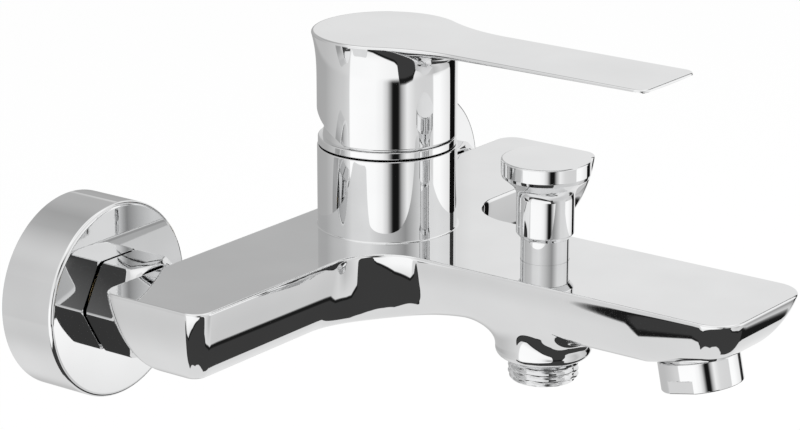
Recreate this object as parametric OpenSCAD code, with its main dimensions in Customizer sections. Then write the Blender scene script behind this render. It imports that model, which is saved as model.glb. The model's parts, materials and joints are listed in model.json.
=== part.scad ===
// Wall mounted bath faucet: a T-shaped casting on two wall unions, with one lever, a pull-up diverter,
// a hose outlet and an aerator.
//
// The origin lies on the wall, midway between the two inlets and at their height. +Z is up, +X runs along
// the wall, and the spout points along -Y, away from the wall. Lengths are millimetres.
// Threads are plain cylinders of their outer size.

/* [Placement] */
// Distance between the axes of the two inlets
inlet_spacing = 150; // [146:0.5:154]
// Distance from the wall to the tower's axis
tower_gap = 60.5; // [59:0.5:62]
// Distance from the wall to the diverter's axis
diverter_gap = 118; // [115:0.5:122]
// Distance from the wall to the middle of the aerator's seat
aerator_gap = 171; // [168:0.5:173]

/* [Body casting] */
// Length of the two arms, end to end
body_len = 200.5; // [194:0.5:210]
// Height of the arms
body_h = 25; // [24.5:0.25:28]
// Depth of the arms, back to front
arm_d = 37; // [36:0.5:40]
// Width of the spout
spout_w = 44.5; // [42:0.5:50]
// Distance from the wall to the spout's tip
spout_reach = 193.5; // [190:0.5:200]
// Height of the spout where its underside is level
spout_h = 19.75; // [19.5:0.25:21.5]
// Distance from the wall to where the spout's underside starts to rise to the tip
ramp_gap = 161.5; // [158:0.5:165]
// How far the sides draw in from the deck's edge to the underside
side_inset = 16; // [13:0.25:16.5]
// How far the spout's tip leans back, more than the sides do
tip_rake = 2; // [0:0.25:3]
// Rounding of the deck's edge
rim_r = 0.6; // [0.4:0.1:1.5]
// Radius of the arms' corners, seen from above
corner_r = 5.5; // [4.5:0.5:8]
// Radius of the tip's corners, seen from above
tip_corner_r = 9; // [7:0.5:11]
// Radius of the hollow between an arm and the spout
throat_r = 17; // [12:0.5:20]

/* [Tower and handle] */
// Diameter of the tower and of the handle's skirt
tower_d = 42; // [41.5:0.25:46]
// Height of the tower above the deck
tower_h = 25; // [24:0.5:30]
// Height of the handle's top above the tower
handle_h = 35; // [34:0.5:40]
// Gap between the tower and the handle's skirt
skirt_gap = 3.4; // [3:0.1:4]
// Reach of the lever from the tower's axis
lever_reach = 99; // [85:1:115]
// Width of the lever's blade
lever_w = 28; // [24:0.5:32]
// Thickness of the lever's blade at its tip
lever_tip_t = 1.4; // [1:0.1:2]
// Diameter of the plate over the handle's skirt
head_d = 45; // [44.5:0.25:50]
// Thickness of the handle's plate over the skirt
plate_t = 4; // [3:0.25:5]
// Side of the stem's square, which turns the handle
stem_w = 8; // [7:0.25:8.5]
// Diameter of the grub screw
screw_d = 5; // [4:0.5:6]
// Diameter of the index plug's head
plug_d = 7.4; // [6.5:0.1:8]

/* [Cartridge] */
// Diameter of the cartridge
cartridge_d = 35; // [34.5:0.25:35.25]
// Depth of the tower's chamber below its rim
chamber_depth = 31.5; // [31:0.25:32.5]
// Diameter of each water port under the cartridge
port_d = 6.6; // [5.5:0.1:7]
// Diameter of the fixed ceramic disc
fixed_disc_d = 30; // [28:0.25:30.25]
// Diameter of the moving ceramic disc
moving_disc_d = 19.5; // [18:0.25:20]
// Thickness of each ceramic disc
disc_t = 3; // [2.5:0.1:3.2]
// Diameter of the rotary hub
hub_d = 24.4; // [23:0.1:24.6]
// Height of the lever's pivot above the tower's rim
pivot_rise = 1; // [0.8:0.1:1.4]
// Distance from the lever's pivot down to the middle of the stem's ball
lower_arm = 12; // [11.5:0.1:12.2]
// Diameter of the pivot pin
pin_d = 3.2; // [2.5:0.1:4]
// Radius of the dome under the handle, about the lever's pivot
dome_r = 19.4; // [19:0.1:19.5]
// Thickness of the dome
dome_t = 1; // [0.8:0.1:1.2]
// Angle by which the lever lifts
lift_max = 25; // [20:1:26]

/* [Diverter] */
// Diameter of the bush that the knob slides on
bush_d = 14.2; // [14:0.1:14.8]
// Height of the bush above the deck
bush_h = 22; // [20:0.5:23]
// Diameter of the knob's shank
shank_d = 17; // [16.8:0.1:19]
// Diameter of the knob's cap
cap_d = 26.2; // [24:0.2:30]
// Height of the knob's cap at its edge
cap_t = 4.2; // [3:0.1:5]
// Height of the knob's top above the deck
knob_h = 30.4; // [30:0.2:33]
// Length of the bush that shows below the knob
neck_h = 6.8; // [6:0.1:8]
// Travel of the knob
pull = 8.8; // [8:0.1:8.8]
// Diameter of the spindle
spindle_d = 5.9; // [5:0.1:6.2]
// Diameter of the valve disc
valve_d = 13.6; // [13:0.1:14]
// Diameter of the spring's wire
wire_d = 0.9; // [0.7:0.1:1]
// Number of the spring's turns
spring_turns = 6; // [4:1:7]

/* [Hose outlet] */
// Diameter of the hose thread
hose_thread_d = 20.955; // [20:0.005:22]
// Length of the hose thread
hose_thread_l = 7; // [6:0.1:9]
// Diameter of the boss above the hose thread
boss_d = 28.4; // [27:0.2:30]
// Height of the boss below the spout's underside
boss_h = 9.75; // [9.4:0.05:10.5]
// Bore of the hose nipple
hose_bore = 15; // [13:0.25:16]

/* [Aerator] */
// Lean of the aerator, away from the wall
aerator_tilt = 11.8; // [8:0.2:13]
// Diameter of the aerator's housing
aerator_d = 23.8; // [23.4:0.1:25]
// Length of the aerator's housing
aerator_l = 9; // [8.4:0.1:10]
// Diameter of the thread that the aerator screws on
aerator_thread_d = 21.6; // [21:0.1:22]
// Distance between the spanner flats
aerator_flats = 22.8; // [22.6:0.1:23.2]

/* [Wall unions] */
// Diameter of the wall thread
wall_thread_d = 20.955; // [20:0.005:22]
// Length of the wall thread, behind the wall's face
wall_thread_l = 15; // [10:0.5:20]
// Offset of the wall thread below the inlet
union_offset = 6; // [3:0.5:8]
// Diameter of the coupling thread
coupling_d = 24; // [23:0.1:24.4]
// Diameter of each rosette
rosette_d = 58.5; // [55:0.5:70]
// Depth of each rosette
rosette_h = 19.3; // [17:0.1:22]
// Thickness of the rosette's wall
rosette_t = 1.2; // [1:0.1:2]
// Union nut, across its flats
nut_flats = 27; // [26.6:0.1:30]
// Length of the union nut
nut_l = 13.4; // [12.8:0.1:15]
// Gap between the rosette and the union nut
nut_gap = 0.6; // [0.5:0.1:2]

/* [Clearances] */
// Between a nut or a bush and the thread in it, on the radius
thread_clear = 0.05; // [0.02:0.01:0.08]
// Between a turning or sliding part and its guide, on the radius
run_clear = 0.08; // [0.05:0.01:0.1]
// Between parts that are laid on each other
seat_clear = 0.05; // [0.02:0.01:0.1]
// Between the handle and the dome, and between the handle and what it covers
cover_clear = 0.4; // [0.3:0.05:0.5]
// Between the tower and the rim of the dome
rim_clear = 0.35; // [0.2:0.05:0.45]

/* [Hidden] */

$fn = 64;
eps = 0.01;
CHROME = [0.80, 0.81, 0.83];
BRASS = [0.78, 0.62, 0.35];
STEEL = [0.62, 0.64, 0.66];
RUBBER = [0.12, 0.12, 0.13];
CERAMIC = [0.93, 0.92, 0.89];
PLASTIC = [0.88, 0.88, 0.86];
GREY_PLASTIC = [0.45, 0.47, 0.5];
RED = [0.75, 0.1, 0.1];

// Body casting: heights and edges
deck_z = body_h / 2;
neck_gap = 1.2;                                // between a union nut and the back of the arms
arm_gap = rosette_h + nut_gap + nut_l + neck_gap;
back_y = -arm_gap;
front_y = -arm_gap - arm_d;
tip_y = -spout_reach;
tower_y = -tower_gap;
tower_r = tower_d / 2;
tower_top = deck_z + tower_h;
duct_r = 4;                                    // water passages in the casting
outlet_duct_z = -2;                            // level of the passage from the tower to the diverter
throat_run = 40;                               // length over which the underside rises from arms to spout
throat_lead = 9.5;                             // how far behind the arms' front that rise starts
tip_inset = 0.65 * side_inset;                 // the tip draws in less than the sides, and leans instead

// Chamber and cartridge, counted from the tower's rim down
floor_z = tower_top - chamber_depth;
cartridge_r = cartridge_d / 2;
chamber_r = cartridge_r + 0.1;
clamp_r = cartridge_r + 0.5;                   // the clamp nut's thread
counterbore_r = cartridge_r + 1.1;             // seat of the dome's collar
counterbore_h = 4;
clamp_seat_z = floor_z + 23.5;                 // the cartridge's shoulder, under the clamp nut
base_z = floor_z + seat_clear;
groove_t = 1.4;                                // depth of the seals' grooves in the cartridge's base
disc_z = base_z + 3.9;
moving_z = disc_z + disc_t + seat_clear;
carrier_z = moving_z + disc_t + seat_clear;
pivot_z = tower_top + pivot_rise;
ball_z = pivot_z - lower_arm;
ball_r = 3.2;
socket_r = ball_r + 0.35;
carrier_top = ball_z + 1;
carrier_w = 10.4;
port_r = port_d / 2;
PORTS = [[-6.5, 4.5], [6.5, 4.5], [0, -8]];    // hot, cold and mixed water, about the tower's axis
PEGS = [[-13.2, -3.5], [13.2, -3.5]];
housing_wall = 2.2;
housing_plate = 3;
housing_top = clamp_seat_z;
neck_t = 1.3;
hub_r = hub_d / 2;
hub_guide_r = hub_r + run_clear;
hub_flange_r = hub_r + 2.3;
hub_flange_h = 1.9;
hub_flange_z = housing_top - housing_plate - 0.1 - hub_flange_h;
hub_top = pivot_z + 4.5;
stem_slot = stem_w + 0.4;

// Handle, counted from the tower's rim up
skirt_z = tower_top + skirt_gap;
handle_top = tower_top + handle_h;
skirt_in_r = dome_r + cover_clear;
head_r = head_d / 2;
flare_h = 10;
edge_r = 0.7;
cut_angle = lift_max + 1;                      // the skirt's back is cut so that the handle can lift
ceiling_z = handle_top - plate_t;
hub_low_z = pivot_z + dome_r + 0.6;            // the handle's socket stays clear of the dome as it swings
socket_wall = 3.4;
screw_z = (hub_low_z + ceiling_z) / 2;
blade_fillet = 50;
stem_top = ceiling_z - 1.5;

// Diverter, about its own axis
diverter_y = -diverter_gap;
bush_r = bush_d / 2;
spout_low = deck_z - spout_h;                  // level of the spout's underside
boss_low = spout_low - boss_h;
valve_seat_z = boss_low + 6;                   // top of the hose nipple, where the valve rests
upper_seat_z = valve_seat_z + pull + 4.2;      // foot of the bush, where the valve closes the spout
valve_chamber_r = bush_r + 1.1;
nipple_screw_r = 9;
seal_t = 1;
valve_t = 2;
valve_z = valve_seat_z + seal_t;
bush_ceiling = deck_z - 2.3;
cage_r = 5.4;
spout_duct_z = deck_z - 6;
spout_duct_r = 3.2;
bush_top = deck_z + bush_h;
knob_top = deck_z + knob_h;
knob_low = deck_z + neck_h;
shank_r = shank_d / 2;
knob_bore_r = bush_r + run_clear;
knob_ceiling = bush_top + 1.5;
spindle_r = spindle_d / 2;
spindle_pin_r = 1.95;

// Aerator, on its own leaning axis: z = 0 is the spout's underside
aerator_y = -aerator_gap;
aerator_r = aerator_d / 2;
spigot_r = aerator_thread_d / 2;
spigot_l = 3.8;
spigot_bore = 8;

// Wall unions: distances from the wall, outwards
nut_rear = rosette_h + nut_gap;
nut_front = nut_rear + nut_l;
nut_lip = 2.2;
flange_t = 2.5;
washer_t = 2;
flange_from = nut_front - nut_lip - seat_clear - flange_t;
washer_from = flange_from - seat_clear - washer_t;
union_end = washer_from - seat_clear;
coupling_r = coupling_d / 2;
nipple_neck_r = 9;
nipple_bore_r = 6.5;

function smooth01(t) = let (c = max(0, min(1, t))) c * c * (3 - 2 * c);

// Height of the casting's underside at a distance y: arms, rise to the spout, level spout, ramp to the tip
function underside_z(y) =
    -body_h / 2 + (spout_low + body_h / 2) * smooth01((front_y + throat_lead - y) / throat_run)
    + max(0, -ramp_gap - y) * tan(aerator_tilt);
aerator_z = underside_z(aerator_y);

// Share of the full inset at a share v of the depth: a side that leans, then rounds into the underside
function inset_share(v) = 1 - pow(1 - pow(v, 1.4), 0.36);

function arc(c, r, from, to, steps) =
    [for (i = [0 : steps]) let (a = from + (to - from) * i / steps) c + r * [cos(a), sin(a)]];

// Right half of the T's outline, from the tip to the back, drawn in by d at the sides and by tip_d at the tip
RAMP_STEPS = 2;
SPOUT_STEPS = 6;
TIP_STEPS = 6;
THROAT_STEPS = 9;
CORNER_STEPS = 5;
function half_outline(d, tip_d) = let (
    sx = spout_w / 2 - d, ax = body_len / 2 - d, yf = front_y + d, yb = back_y - d, yt = tip_y + tip_d,
    rc = corner_r - 0.2 * d, rt = tip_corner_r - 0.4 * d, rf = throat_r + d,
    y0 = yt + rt, y1 = yf - rf, y_ramp = -ramp_gap
) concat(
    arc([sx - rt, yt + rt], rt, -90, 0, TIP_STEPS),
    [for (i = [1 : RAMP_STEPS]) [sx, y0 + (y_ramp - y0) * i / RAMP_STEPS]],
    [for (i = [1 : SPOUT_STEPS - 1]) [sx, y_ramp + (y1 - y_ramp) * i / SPOUT_STEPS]],
    arc([sx + rf, yf - rf], rf, 180, 90, THROAT_STEPS),
    arc([ax - rc, yf + rc], rc, -90, 0, CORNER_STEPS),
    arc([ax - rc, yb - rc], rc, 0, 90, CORNER_STEPS)
);
HALF = TIP_STEPS + RAMP_STEPS + SPOUT_STEPS + THROAT_STEPS + 2 * CORNER_STEPS + 3;
THROAT_END = TIP_STEPS + RAMP_STEPS + SPOUT_STEPS + THROAT_STEPS;   // index of the last point of the throat

// Levels of the casting: [inset, tip inset, share of the depth]; the first two round the deck's edge, and
// the first lies above the deck, which is cut flat afterwards
DEPTHS = [0, 0.1, 0.22, 0.36, 0.5, 0.63, 0.75, 0.85, 0.92, 0.965, 0.99, 1];
LEVELS = concat(
    [[1.7 * rim_r, 1.7 * rim_r, -1.3], [0.3 * rim_r, 0.3 * rim_r, -0.7]],
    [for (v = DEPTHS) [side_inset * inset_share(v), tip_inset * inset_share(v) + tip_rake * v, v]]
);
function level_z(v, y) = let (edge = deck_z - rim_r)
    v < 0 ? edge - v * rim_r : edge + v * (underside_z(y) - edge);

// The T-shaped casting without its tower: rings of points from above the deck down, cut flat at the deck.
// The underside is closed by strips across the spout and one rounded rectangle across the arms
module t_casting() {
    n = 2 * HALF;
    points = [for (l = LEVELS) let (h = half_outline(l[0], l[1]))
        for (i = [0 : n - 1]) let (p = i < HALF ? h[i] : [-h[n - 1 - i][0], h[n - 1 - i][1]])
            [p[0], p[1], level_z(l[2], p[1])]];
    low = (len(LEVELS) - 1) * n;
    sides = [for (k = [0 : len(LEVELS) - 2], j = [0 : n - 1], half = [0, 1])
        let (a = k * n + j, b = k * n + (j + 1) % n, c = b + n, d = a + n) half == 0 ? [a, b, c] : [a, c, d]];
    top = [for (j = [0 : THROAT_END - 1]) [n - 1 - j, n - 2 - j, j + 1, j]];
    arms_top = [for (j = [n - 1 - THROAT_END : -1 : THROAT_END]) j];
    underside = [for (j = [0 : THROAT_END - 1]) [low + j, low + j + 1, low + n - 2 - j, low + n - 1 - j]];
    // the arms' underside is a fan of triangles about the middle of the rear edge
    arms_underside = [for (j = [THROAT_END : n - 2 - THROAT_END]) if (j != HALF - 1 && j != HALF - 2)
        [low + HALF - 1, low + j, low + j + 1]];
    intersection() {
        polyhedron(points = points, faces = concat(sides, top, [arms_top], underside, arms_underside,
            [[low + HALF - 1, low + n - 1 - THROAT_END, low + THROAT_END]]),
            convexity = 6);
        translate([-body_len, -spout_reach - 20, -body_h]) cube([2 * body_len, spout_reach, body_h + deck_z]);
    }
}

// A cylinder along Y between two distances from the wall
module tube_y(r, from, to) translate([0, -from, 0]) rotate([90, 0, 0]) cylinder(r = r, h = to - from);

module at_tower() translate([0, tower_y, 0]) children();
module at_diverter() translate([0, diverter_y, 0]) children();
module at_inlet(side) translate([side * inlet_spacing / 2, 0, 0]) children();
module at_aerator() translate([0, aerator_y, aerator_z]) rotate([-aerator_tilt, 0, 0]) children();

// A ring of rectangular section between two radii and two heights
module ring(r_out, r_in, z0, z1) rotate_extrude() translate([r_in, z0]) square([r_out - r_in, z1 - z0]);
// An O-ring
module o_ring(r, section, z) rotate_extrude() translate([r, z]) circle(r = section, $fn = 24);

// Boss of the hose outlet: a round foot with a rounded edge, which flares along the spout into its underside
module outlet_boss() {
    r = boss_d / 2;
    round_r = 2.2;
    flare_z = boss_low + 2.4;
    slope = 52;
    root_r = r - 0.8;
    wide_r = root_r + (spout_low + 1 - flare_z) * tan(slope);
    top = spout_low + 4;
    rotate_extrude() polygon(concat(
        [[0, boss_low], [r - round_r, boss_low]],
        arc([r - round_r, boss_low + round_r], round_r, -75, 0, 5),
        [[r, top], [0, top]]
    ));
    intersection() {
        rotate_extrude() polygon([[0, flare_z], [root_r, flare_z], [wide_r, spout_low + 1], [wide_r, top], [0, top]]);
        translate([-r - 0.4, -30, flare_z - 1]) cube([2 * r + 0.8, 60, 30]);
    }
}

module tower_bores() {
    at_tower() {
        translate([0, 0, floor_z]) cylinder(r = chamber_r, h = chamber_depth + eps);
        translate([0, 0, clamp_seat_z - 2.5]) cylinder(r = clamp_r, h = chamber_depth);
        translate([0, 0, tower_top - counterbore_h]) cylinder(r = counterbore_r, h = counterbore_h + 1);
        for (p = PORTS) translate([p[0], p[1], p[1] > 0 ? -1 : outlet_duct_z])
            cylinder(r = port_r, h = floor_z + 3.5);
        for (p = PEGS) translate([p[0], p[1], floor_z - 2.5]) cylinder(r = 1.6, h = 3);
    }
}

// Water passages: inlets and arms, tower to diverter, and diverter to aerator
module passages() {
    arm_y = arm_gap + arm_d / 2;
    for (side = [-1, 1]) {
        at_inlet(side) {
            tube_y(nipple_neck_r + thread_clear, arm_gap - 1, arm_gap + 10.5);
            tube_y(nipple_bore_r, arm_gap, arm_y + duct_r + 1.5);
        }
        translate([side * 3, -arm_y, 0]) rotate([0, side * 90, 0])
            cylinder(r = duct_r, h = inlet_spacing / 2 - 3);
    }
    translate([0, 0, outlet_duct_z]) tube_y(duct_r, tower_gap + 7, diverter_gap);
    translate([0, 0, spout_duct_z]) tube_y(spout_duct_r, diverter_gap, aerator_gap);
}

module body() {
    color(CHROME) difference() {
        union() {
            t_casting();
            at_tower() translate([0, 0, deck_z - 2]) cylinder(r = tower_r, h = tower_h + 2);
            at_diverter() outlet_boss();
            at_aerator() translate([0, 0, -spigot_l]) cylinder(r = spigot_r, h = spigot_l + 6);
        }
        tower_bores();
        passages();
        at_diverter() {
            translate([0, 0, upper_seat_z - eps])
                cylinder(r = bush_r + thread_clear, h = deck_z - upper_seat_z + 1);
            translate([0, 0, valve_seat_z]) cylinder(r = valve_chamber_r, h = upper_seat_z - valve_seat_z);
            translate([0, 0, boss_low - 1])
                cylinder(r = nipple_screw_r + thread_clear, h = valve_seat_z - boss_low + 1 + eps);
        }
        at_aerator() {
            translate([0, 0, -spigot_l - 1]) cylinder(r = spigot_bore, h = spigot_l + 9);
            cylinder(r = 6.5, h = 13);
        }
    }
}

// Round cup over the wall union, open to the wall
module rosette(side) {
    r = rosette_d / 2;
    round_r = 1.2;
    hole = coupling_r + thread_clear;
    color(CHROME) at_inlet(side) rotate([90, 0, 0]) rotate_extrude() polygon(concat(
        [[r - rosette_t, 0], [r, 0]],
        arc([r - round_r, rosette_h - round_r], round_r, 0, 90, 5),
        [[hole, rosette_h], [hole, rosette_h - 5], [hole + 1.5, rosette_h - 5]],
        [[hole + 1.5, rosette_h - 1.5], [r - rosette_t - 0.6, rosette_h - 1.5], [r - rosette_t, rosette_h - 2.1]]
    ));
}

// Hexagonal nut with a flat on top, chamfered towards the body, with a lip that holds the nipple
module union_nut(side) {
    corner = nut_flats / 2 / cos(30);
    chamfer_l = 2.8;
    color(CHROME) at_inlet(side) translate([0, -nut_rear, 0]) rotate([90, 0, 0]) difference() {
        intersection() {
            cylinder(r = corner, h = nut_l, $fn = 6);
            rotate_extrude() polygon([
                [0, 0], [corner - 0.5, 0], [corner + 0.1, 0.5], [corner + 0.1, nut_l - chamfer_l],
                [nut_flats / 2 - 0.3, nut_l], [0, nut_l]
            ]);
        }
        translate([0, 0, -1]) cylinder(r = coupling_r + thread_clear, h = nut_l - nut_lip + 1);
        cylinder(r = nipple_neck_r + 0.3, h = nut_l + 1);
    }
}

// Cranked union: the wall thread lies lower than the coupling thread
module eccentric_union(side) {
    step = 7;      // where the two bores meet
    hex_from = 2;
    hex_to = 12;
    color(BRASS) at_inlet(side) difference() {
        union() {
            tube_y(coupling_r, hex_to - 1, union_end);
            translate([0, -hex_from, -union_offset / 2]) rotate([90, 0, 0])
                cylinder(r = 18, h = hex_to - hex_from, $fn = 6);
            translate([0, 0, -union_offset]) tube_y(wall_thread_d / 2, -wall_thread_l, hex_from + 1);
        }
        tube_y(8.5, step, union_end + 1);
        translate([0, 0, -union_offset]) tube_y(7, -wall_thread_l - 1, step + eps);
    }
}

// Flanged nipple that screws into the arm; the union nut pulls on its flange
module inlet_nipple(side) {
    color(BRASS) at_inlet(side) difference() {
        union() {
            tube_y(coupling_r - 0.4, flange_from, flange_from + flange_t);
            tube_y(nipple_neck_r, flange_from + flange_t - 1, arm_gap + 10);
        }
        tube_y(nipple_bore_r, flange_from - 1, arm_gap + 11);
    }
}

module inlet_washer(side) {
    color(RUBBER) at_inlet(side) rotate([90, 0, 0])
        ring(coupling_r - 0.3, nipple_bore_r + 1, washer_from, washer_from + washer_t);
}

module cartridge_base() {
    color(PLASTIC) at_tower() difference() {
        union() {
            translate([0, 0, base_z]) cylinder(r = cartridge_r - 0.1, h = disc_z - seat_clear - base_z);
            for (p = PEGS) translate([p[0], p[1], floor_z - 2]) cylinder(r = 1.5, h = base_z - floor_z + 3);
        }
        for (p = PORTS) translate([p[0], p[1], base_z - 1]) {
            cylinder(r = port_r, h = 6);
            ring(port_r + 1.8, port_r + 0.4, 0, 1 + groove_t);
        }
    }
}

// Three ring seals between the base's ports and the chamber's floor
module cartridge_seals() {
    color(RUBBER) at_tower() for (p = PORTS) translate([p[0], p[1], 0])
        ring(port_r + 1.7, port_r + 0.5, floor_z + seat_clear, base_z + groove_t - seat_clear);
}

module fixed_disc() {
    color(CERAMIC) at_tower() difference() {
        translate([0, 0, disc_z]) cylinder(r = fixed_disc_d / 2, h = disc_t);
        for (p = PORTS) translate([p[0], p[1], disc_z - 1]) cylinder(r = port_r, h = disc_t + 2);
    }
}

// The moving disc has a pocket below, which joins the mixed port to the others as the disc slides
module moving_disc() {
    color(CERAMIC) at_tower() difference() {
        translate([0, 0, moving_z]) cylinder(r = moving_disc_d / 2, h = disc_t);
        translate([0, -3, moving_z - 1]) cylinder(r = 5.5, h = 2.6);
    }
}

module disc_carrier() {
    color(GREY_PLASTIC) at_tower() difference() {
        union() {
            translate([0, 0, carrier_z]) cylinder(r = moving_disc_d / 2, h = 2);
            translate([-carrier_w / 2, -carrier_w / 2, carrier_z + 1])
                cube([carrier_w, carrier_w, carrier_top - carrier_z - 1]);
        }
        translate([0, 0, ball_z - ball_r - 1.2]) cylinder(r = socket_r, h = 12);
    }
}

module cartridge_housing() {
    color(PLASTIC) at_tower() rotate_extrude() polygon([
        [cartridge_r - housing_wall, disc_z], [cartridge_r, disc_z], [cartridge_r, housing_top],
        [hub_guide_r + neck_t, housing_top], [hub_guide_r + neck_t, housing_top + 6],
        [hub_guide_r, housing_top + 6], [hub_guide_r, housing_top - housing_plate],
        [cartridge_r - housing_wall, housing_top - housing_plate]
    ]);
}

// Turning hub: its flange is slotted for the carrier, and its neck for the stem
module rotary_hub() {
    color(GREY_PLASTIC) at_tower() difference() {
        union() {
            translate([0, 0, hub_flange_z]) cylinder(r = hub_flange_r, h = hub_flange_h);
            translate([0, 0, hub_flange_z]) cylinder(r = hub_r, h = hub_top - hub_flange_z);
        }
        translate([-carrier_w / 2 - 0.2, -20, hub_flange_z - 1])
            cube([carrier_w + 0.4, 40, carrier_top + 0.5 - hub_flange_z + 1]);
        translate([-stem_slot / 2, -9.8, hub_flange_z]) cube([stem_slot, 19.6, 40]);
        translate([-20, 0, pivot_z]) rotate([0, 90, 0]) cylinder(r = pin_d / 2, h = 40);
    }
}

module hub_pin() {
    color(STEEL) at_tower() translate([-hub_r + 0.6, 0, pivot_z]) rotate([0, 90, 0])
        cylinder(r = pin_d / 2, h = 2 * hub_r - 1.2);
}

// Square stem on the pin, with a ball that drives the carrier
module lever_stem() {
    neck_r = 2.2;
    square_low = ball_z + 3.5;
    color(STEEL) at_tower() difference() {
        union() {
            translate([-stem_w / 2, -stem_w / 2, square_low]) cube([stem_w, stem_w, stem_top - square_low]);
            translate([0, 0, ball_z]) cylinder(r = neck_r, h = square_low - ball_z + 1);
            translate([0, 0, ball_z]) sphere(r = ball_r);
        }
        translate([-stem_w, 0, pivot_z]) rotate([0, 90, 0])
            cylinder(r = pin_d / 2 + run_clear, h = 2 * stem_w);
    }
}

// Ring nut that presses the cartridge down, with four slots for its spanner
module clamp_nut() {
    bore = hub_guide_r + neck_t + 0.3;
    top = tower_top - 0.6;
    low = clamp_seat_z + seat_clear;
    thread_top = tower_top - counterbore_h;
    color(BRASS) at_tower() difference() {
        union() {
            translate([0, 0, low]) cylinder(r = clamp_r - thread_clear, h = thread_top - low);
            translate([0, 0, low]) cylinder(r = clamp_r - 1.6, h = top - low);
        }
        translate([0, 0, low - 1]) cylinder(r = bore, h = top - low + 2);
        for (a = [0 : 90 : 270]) rotate([0, 0, a]) translate([bore - 2, -2, top - 2]) cube([8, 4, 3]);
    }
}

// Dome between tower and handle: a collar in the tower, a rim on it, and a ball-shaped shell round the pivot
module dome_cover() {
    collar_out = counterbore_r - 0.15;
    collar_in = clamp_r - 1;
    collar_low = tower_top - counterbore_h + seat_clear;
    rim_z = tower_top + rim_clear;
    rim_top = skirt_z - 0.65;                      // the band under the skirt stays clear of its edge
    mouth = 13.4;
    color(CHROME) at_tower() rotate_extrude() polygon(concat(
        [[collar_in, collar_low], [collar_out, collar_low]],
        [[collar_out, tower_top - 2.6], [collar_out - 0.7, tower_top - 2.6]],
        [[collar_out - 0.7, tower_top - 1.5], [collar_out, tower_top - 1.5], [collar_out, rim_z]],
        [[tower_r - 0.25, rim_z], [tower_r - 0.25, rim_top - 0.35], [tower_r - 0.6, rim_top]],
        arc([0, pivot_z], dome_r, asin((rim_top - pivot_z) / dome_r), acos(mouth / dome_r), 14),
        arc([0, pivot_z], dome_r - dome_t, acos(mouth / (dome_r - dome_t)), 0, 14),
        [[collar_in, pivot_z - 0.6]]
    ));
}

module dome_seal() {
    color(RUBBER) at_tower() o_ring(counterbore_r - 0.44, 0.4, tower_top - 2.05);
}

// Half width of the lever at a distance s in front of the tower's axis: a root inside the round head, the
// hollow beside it, and the straight blade
function lever_half(s) = let (
    w = lever_w / 2, fc = w + blade_fillet, fs = sqrt(pow(head_r + blade_fillet, 2) - fc * fc),
    touch = fs * head_r / (head_r + blade_fillet)
) s < touch ? sqrt(head_r * head_r - s * s) - 1.2 : s < fs ? fc - sqrt(pow(blade_fillet, 2) - pow(fs - s, 2)) : w;
LEVER_STATIONS = [4, 8, 12, 15, 18, 22, 27, 32, 40, 50, 60, 70, 80, 90];
LEVER_CORNERS = [90, 60, 30, 0];

// Blade of the lever: level on top, thin at its edges, and thicker along its middle towards the skirt
module lever_blade() {
    tip_r = 3.5;
    scale_s = (lever_reach - tip_r) / 95;
    stations = concat(
        [for (s = LEVER_STATIONS) [s * scale_s, lever_half(s * scale_s)]],
        [for (a = LEVER_CORNERS) [lever_reach - tip_r + tip_r * cos(a), lever_w / 2 - tip_r + tip_r * sin(a)]]
    );
    sections = [for (st = stations) let (
        s = st[0], w = st[1], t = 1 - s / lever_reach, rim = edge_r + 0.7 * t,
        deep = lever_tip_t + 1.6 * t + 7 * pow(t, 5)
    ) [
        [-w + edge_r, -s, handle_top], [w - edge_r, -s, handle_top], [w, -s, handle_top - edge_r],
        [w - 0.4, -s, handle_top - rim - 0.2], [w * 0.6, -s, handle_top - max(rim + 0.3, 0.75 * deep)],
        [0, -s, handle_top - max(rim + 0.4, deep)], [-w * 0.6, -s, handle_top - max(rim + 0.3, 0.75 * deep)],
        [-w + 0.4, -s, handle_top - rim - 0.2], [-w, -s, handle_top - edge_r]
    ]];
    n = len(sections[0]);
    last = (len(sections) - 1) * n;
    sides = [for (k = [0 : len(sections) - 2], j = [0 : n - 1], half = [0, 1])
        let (a = k * n + j, b = k * n + (j + 1) % n, c = b + n, d = a + n) half == 0 ? [a, b, c] : [a, c, d]];
    polyhedron(
        points = [for (sec = sections, p = sec) p],
        faces = concat(sides, [[for (j = [n - 1 : -1 : 0]) j]], [[for (j = [0 : n - 1]) last + j]]),
        convexity = 4
    );
}

// Outside of the handle's skirt, with its flare
module handle_skirt() {
    flare_z = handle_top - edge_r - flare_h;
    flare_w = head_r - tower_r;
    flare_r = (flare_h * flare_h + flare_w * flare_w) / (2 * flare_w);
    chamfer = 0.4;
    rotate_extrude() polygon(concat(
        [[0, skirt_z], [tower_r - chamfer, skirt_z], [tower_r, skirt_z + chamfer]],
        [for (i = [0 : 8]) let (z = flare_h * i / 8)
            [tower_r + flare_r - sqrt(flare_r * flare_r - z * z), flare_z + z]],
        arc([head_r - edge_r, handle_top - edge_r], edge_r, 20, 90, 4),
        [[0, handle_top]]
    ));
}

// Hollow of the handle, which turns and lifts over the dome
module handle_hollow() {
    rotate_extrude() polygon([
        [0, skirt_z - 1], [skirt_in_r, skirt_z - 1], [skirt_in_r, ceiling_z - 2], [skirt_in_r - 2, ceiling_z],
        [0, ceiling_z]
    ]);
}

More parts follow.
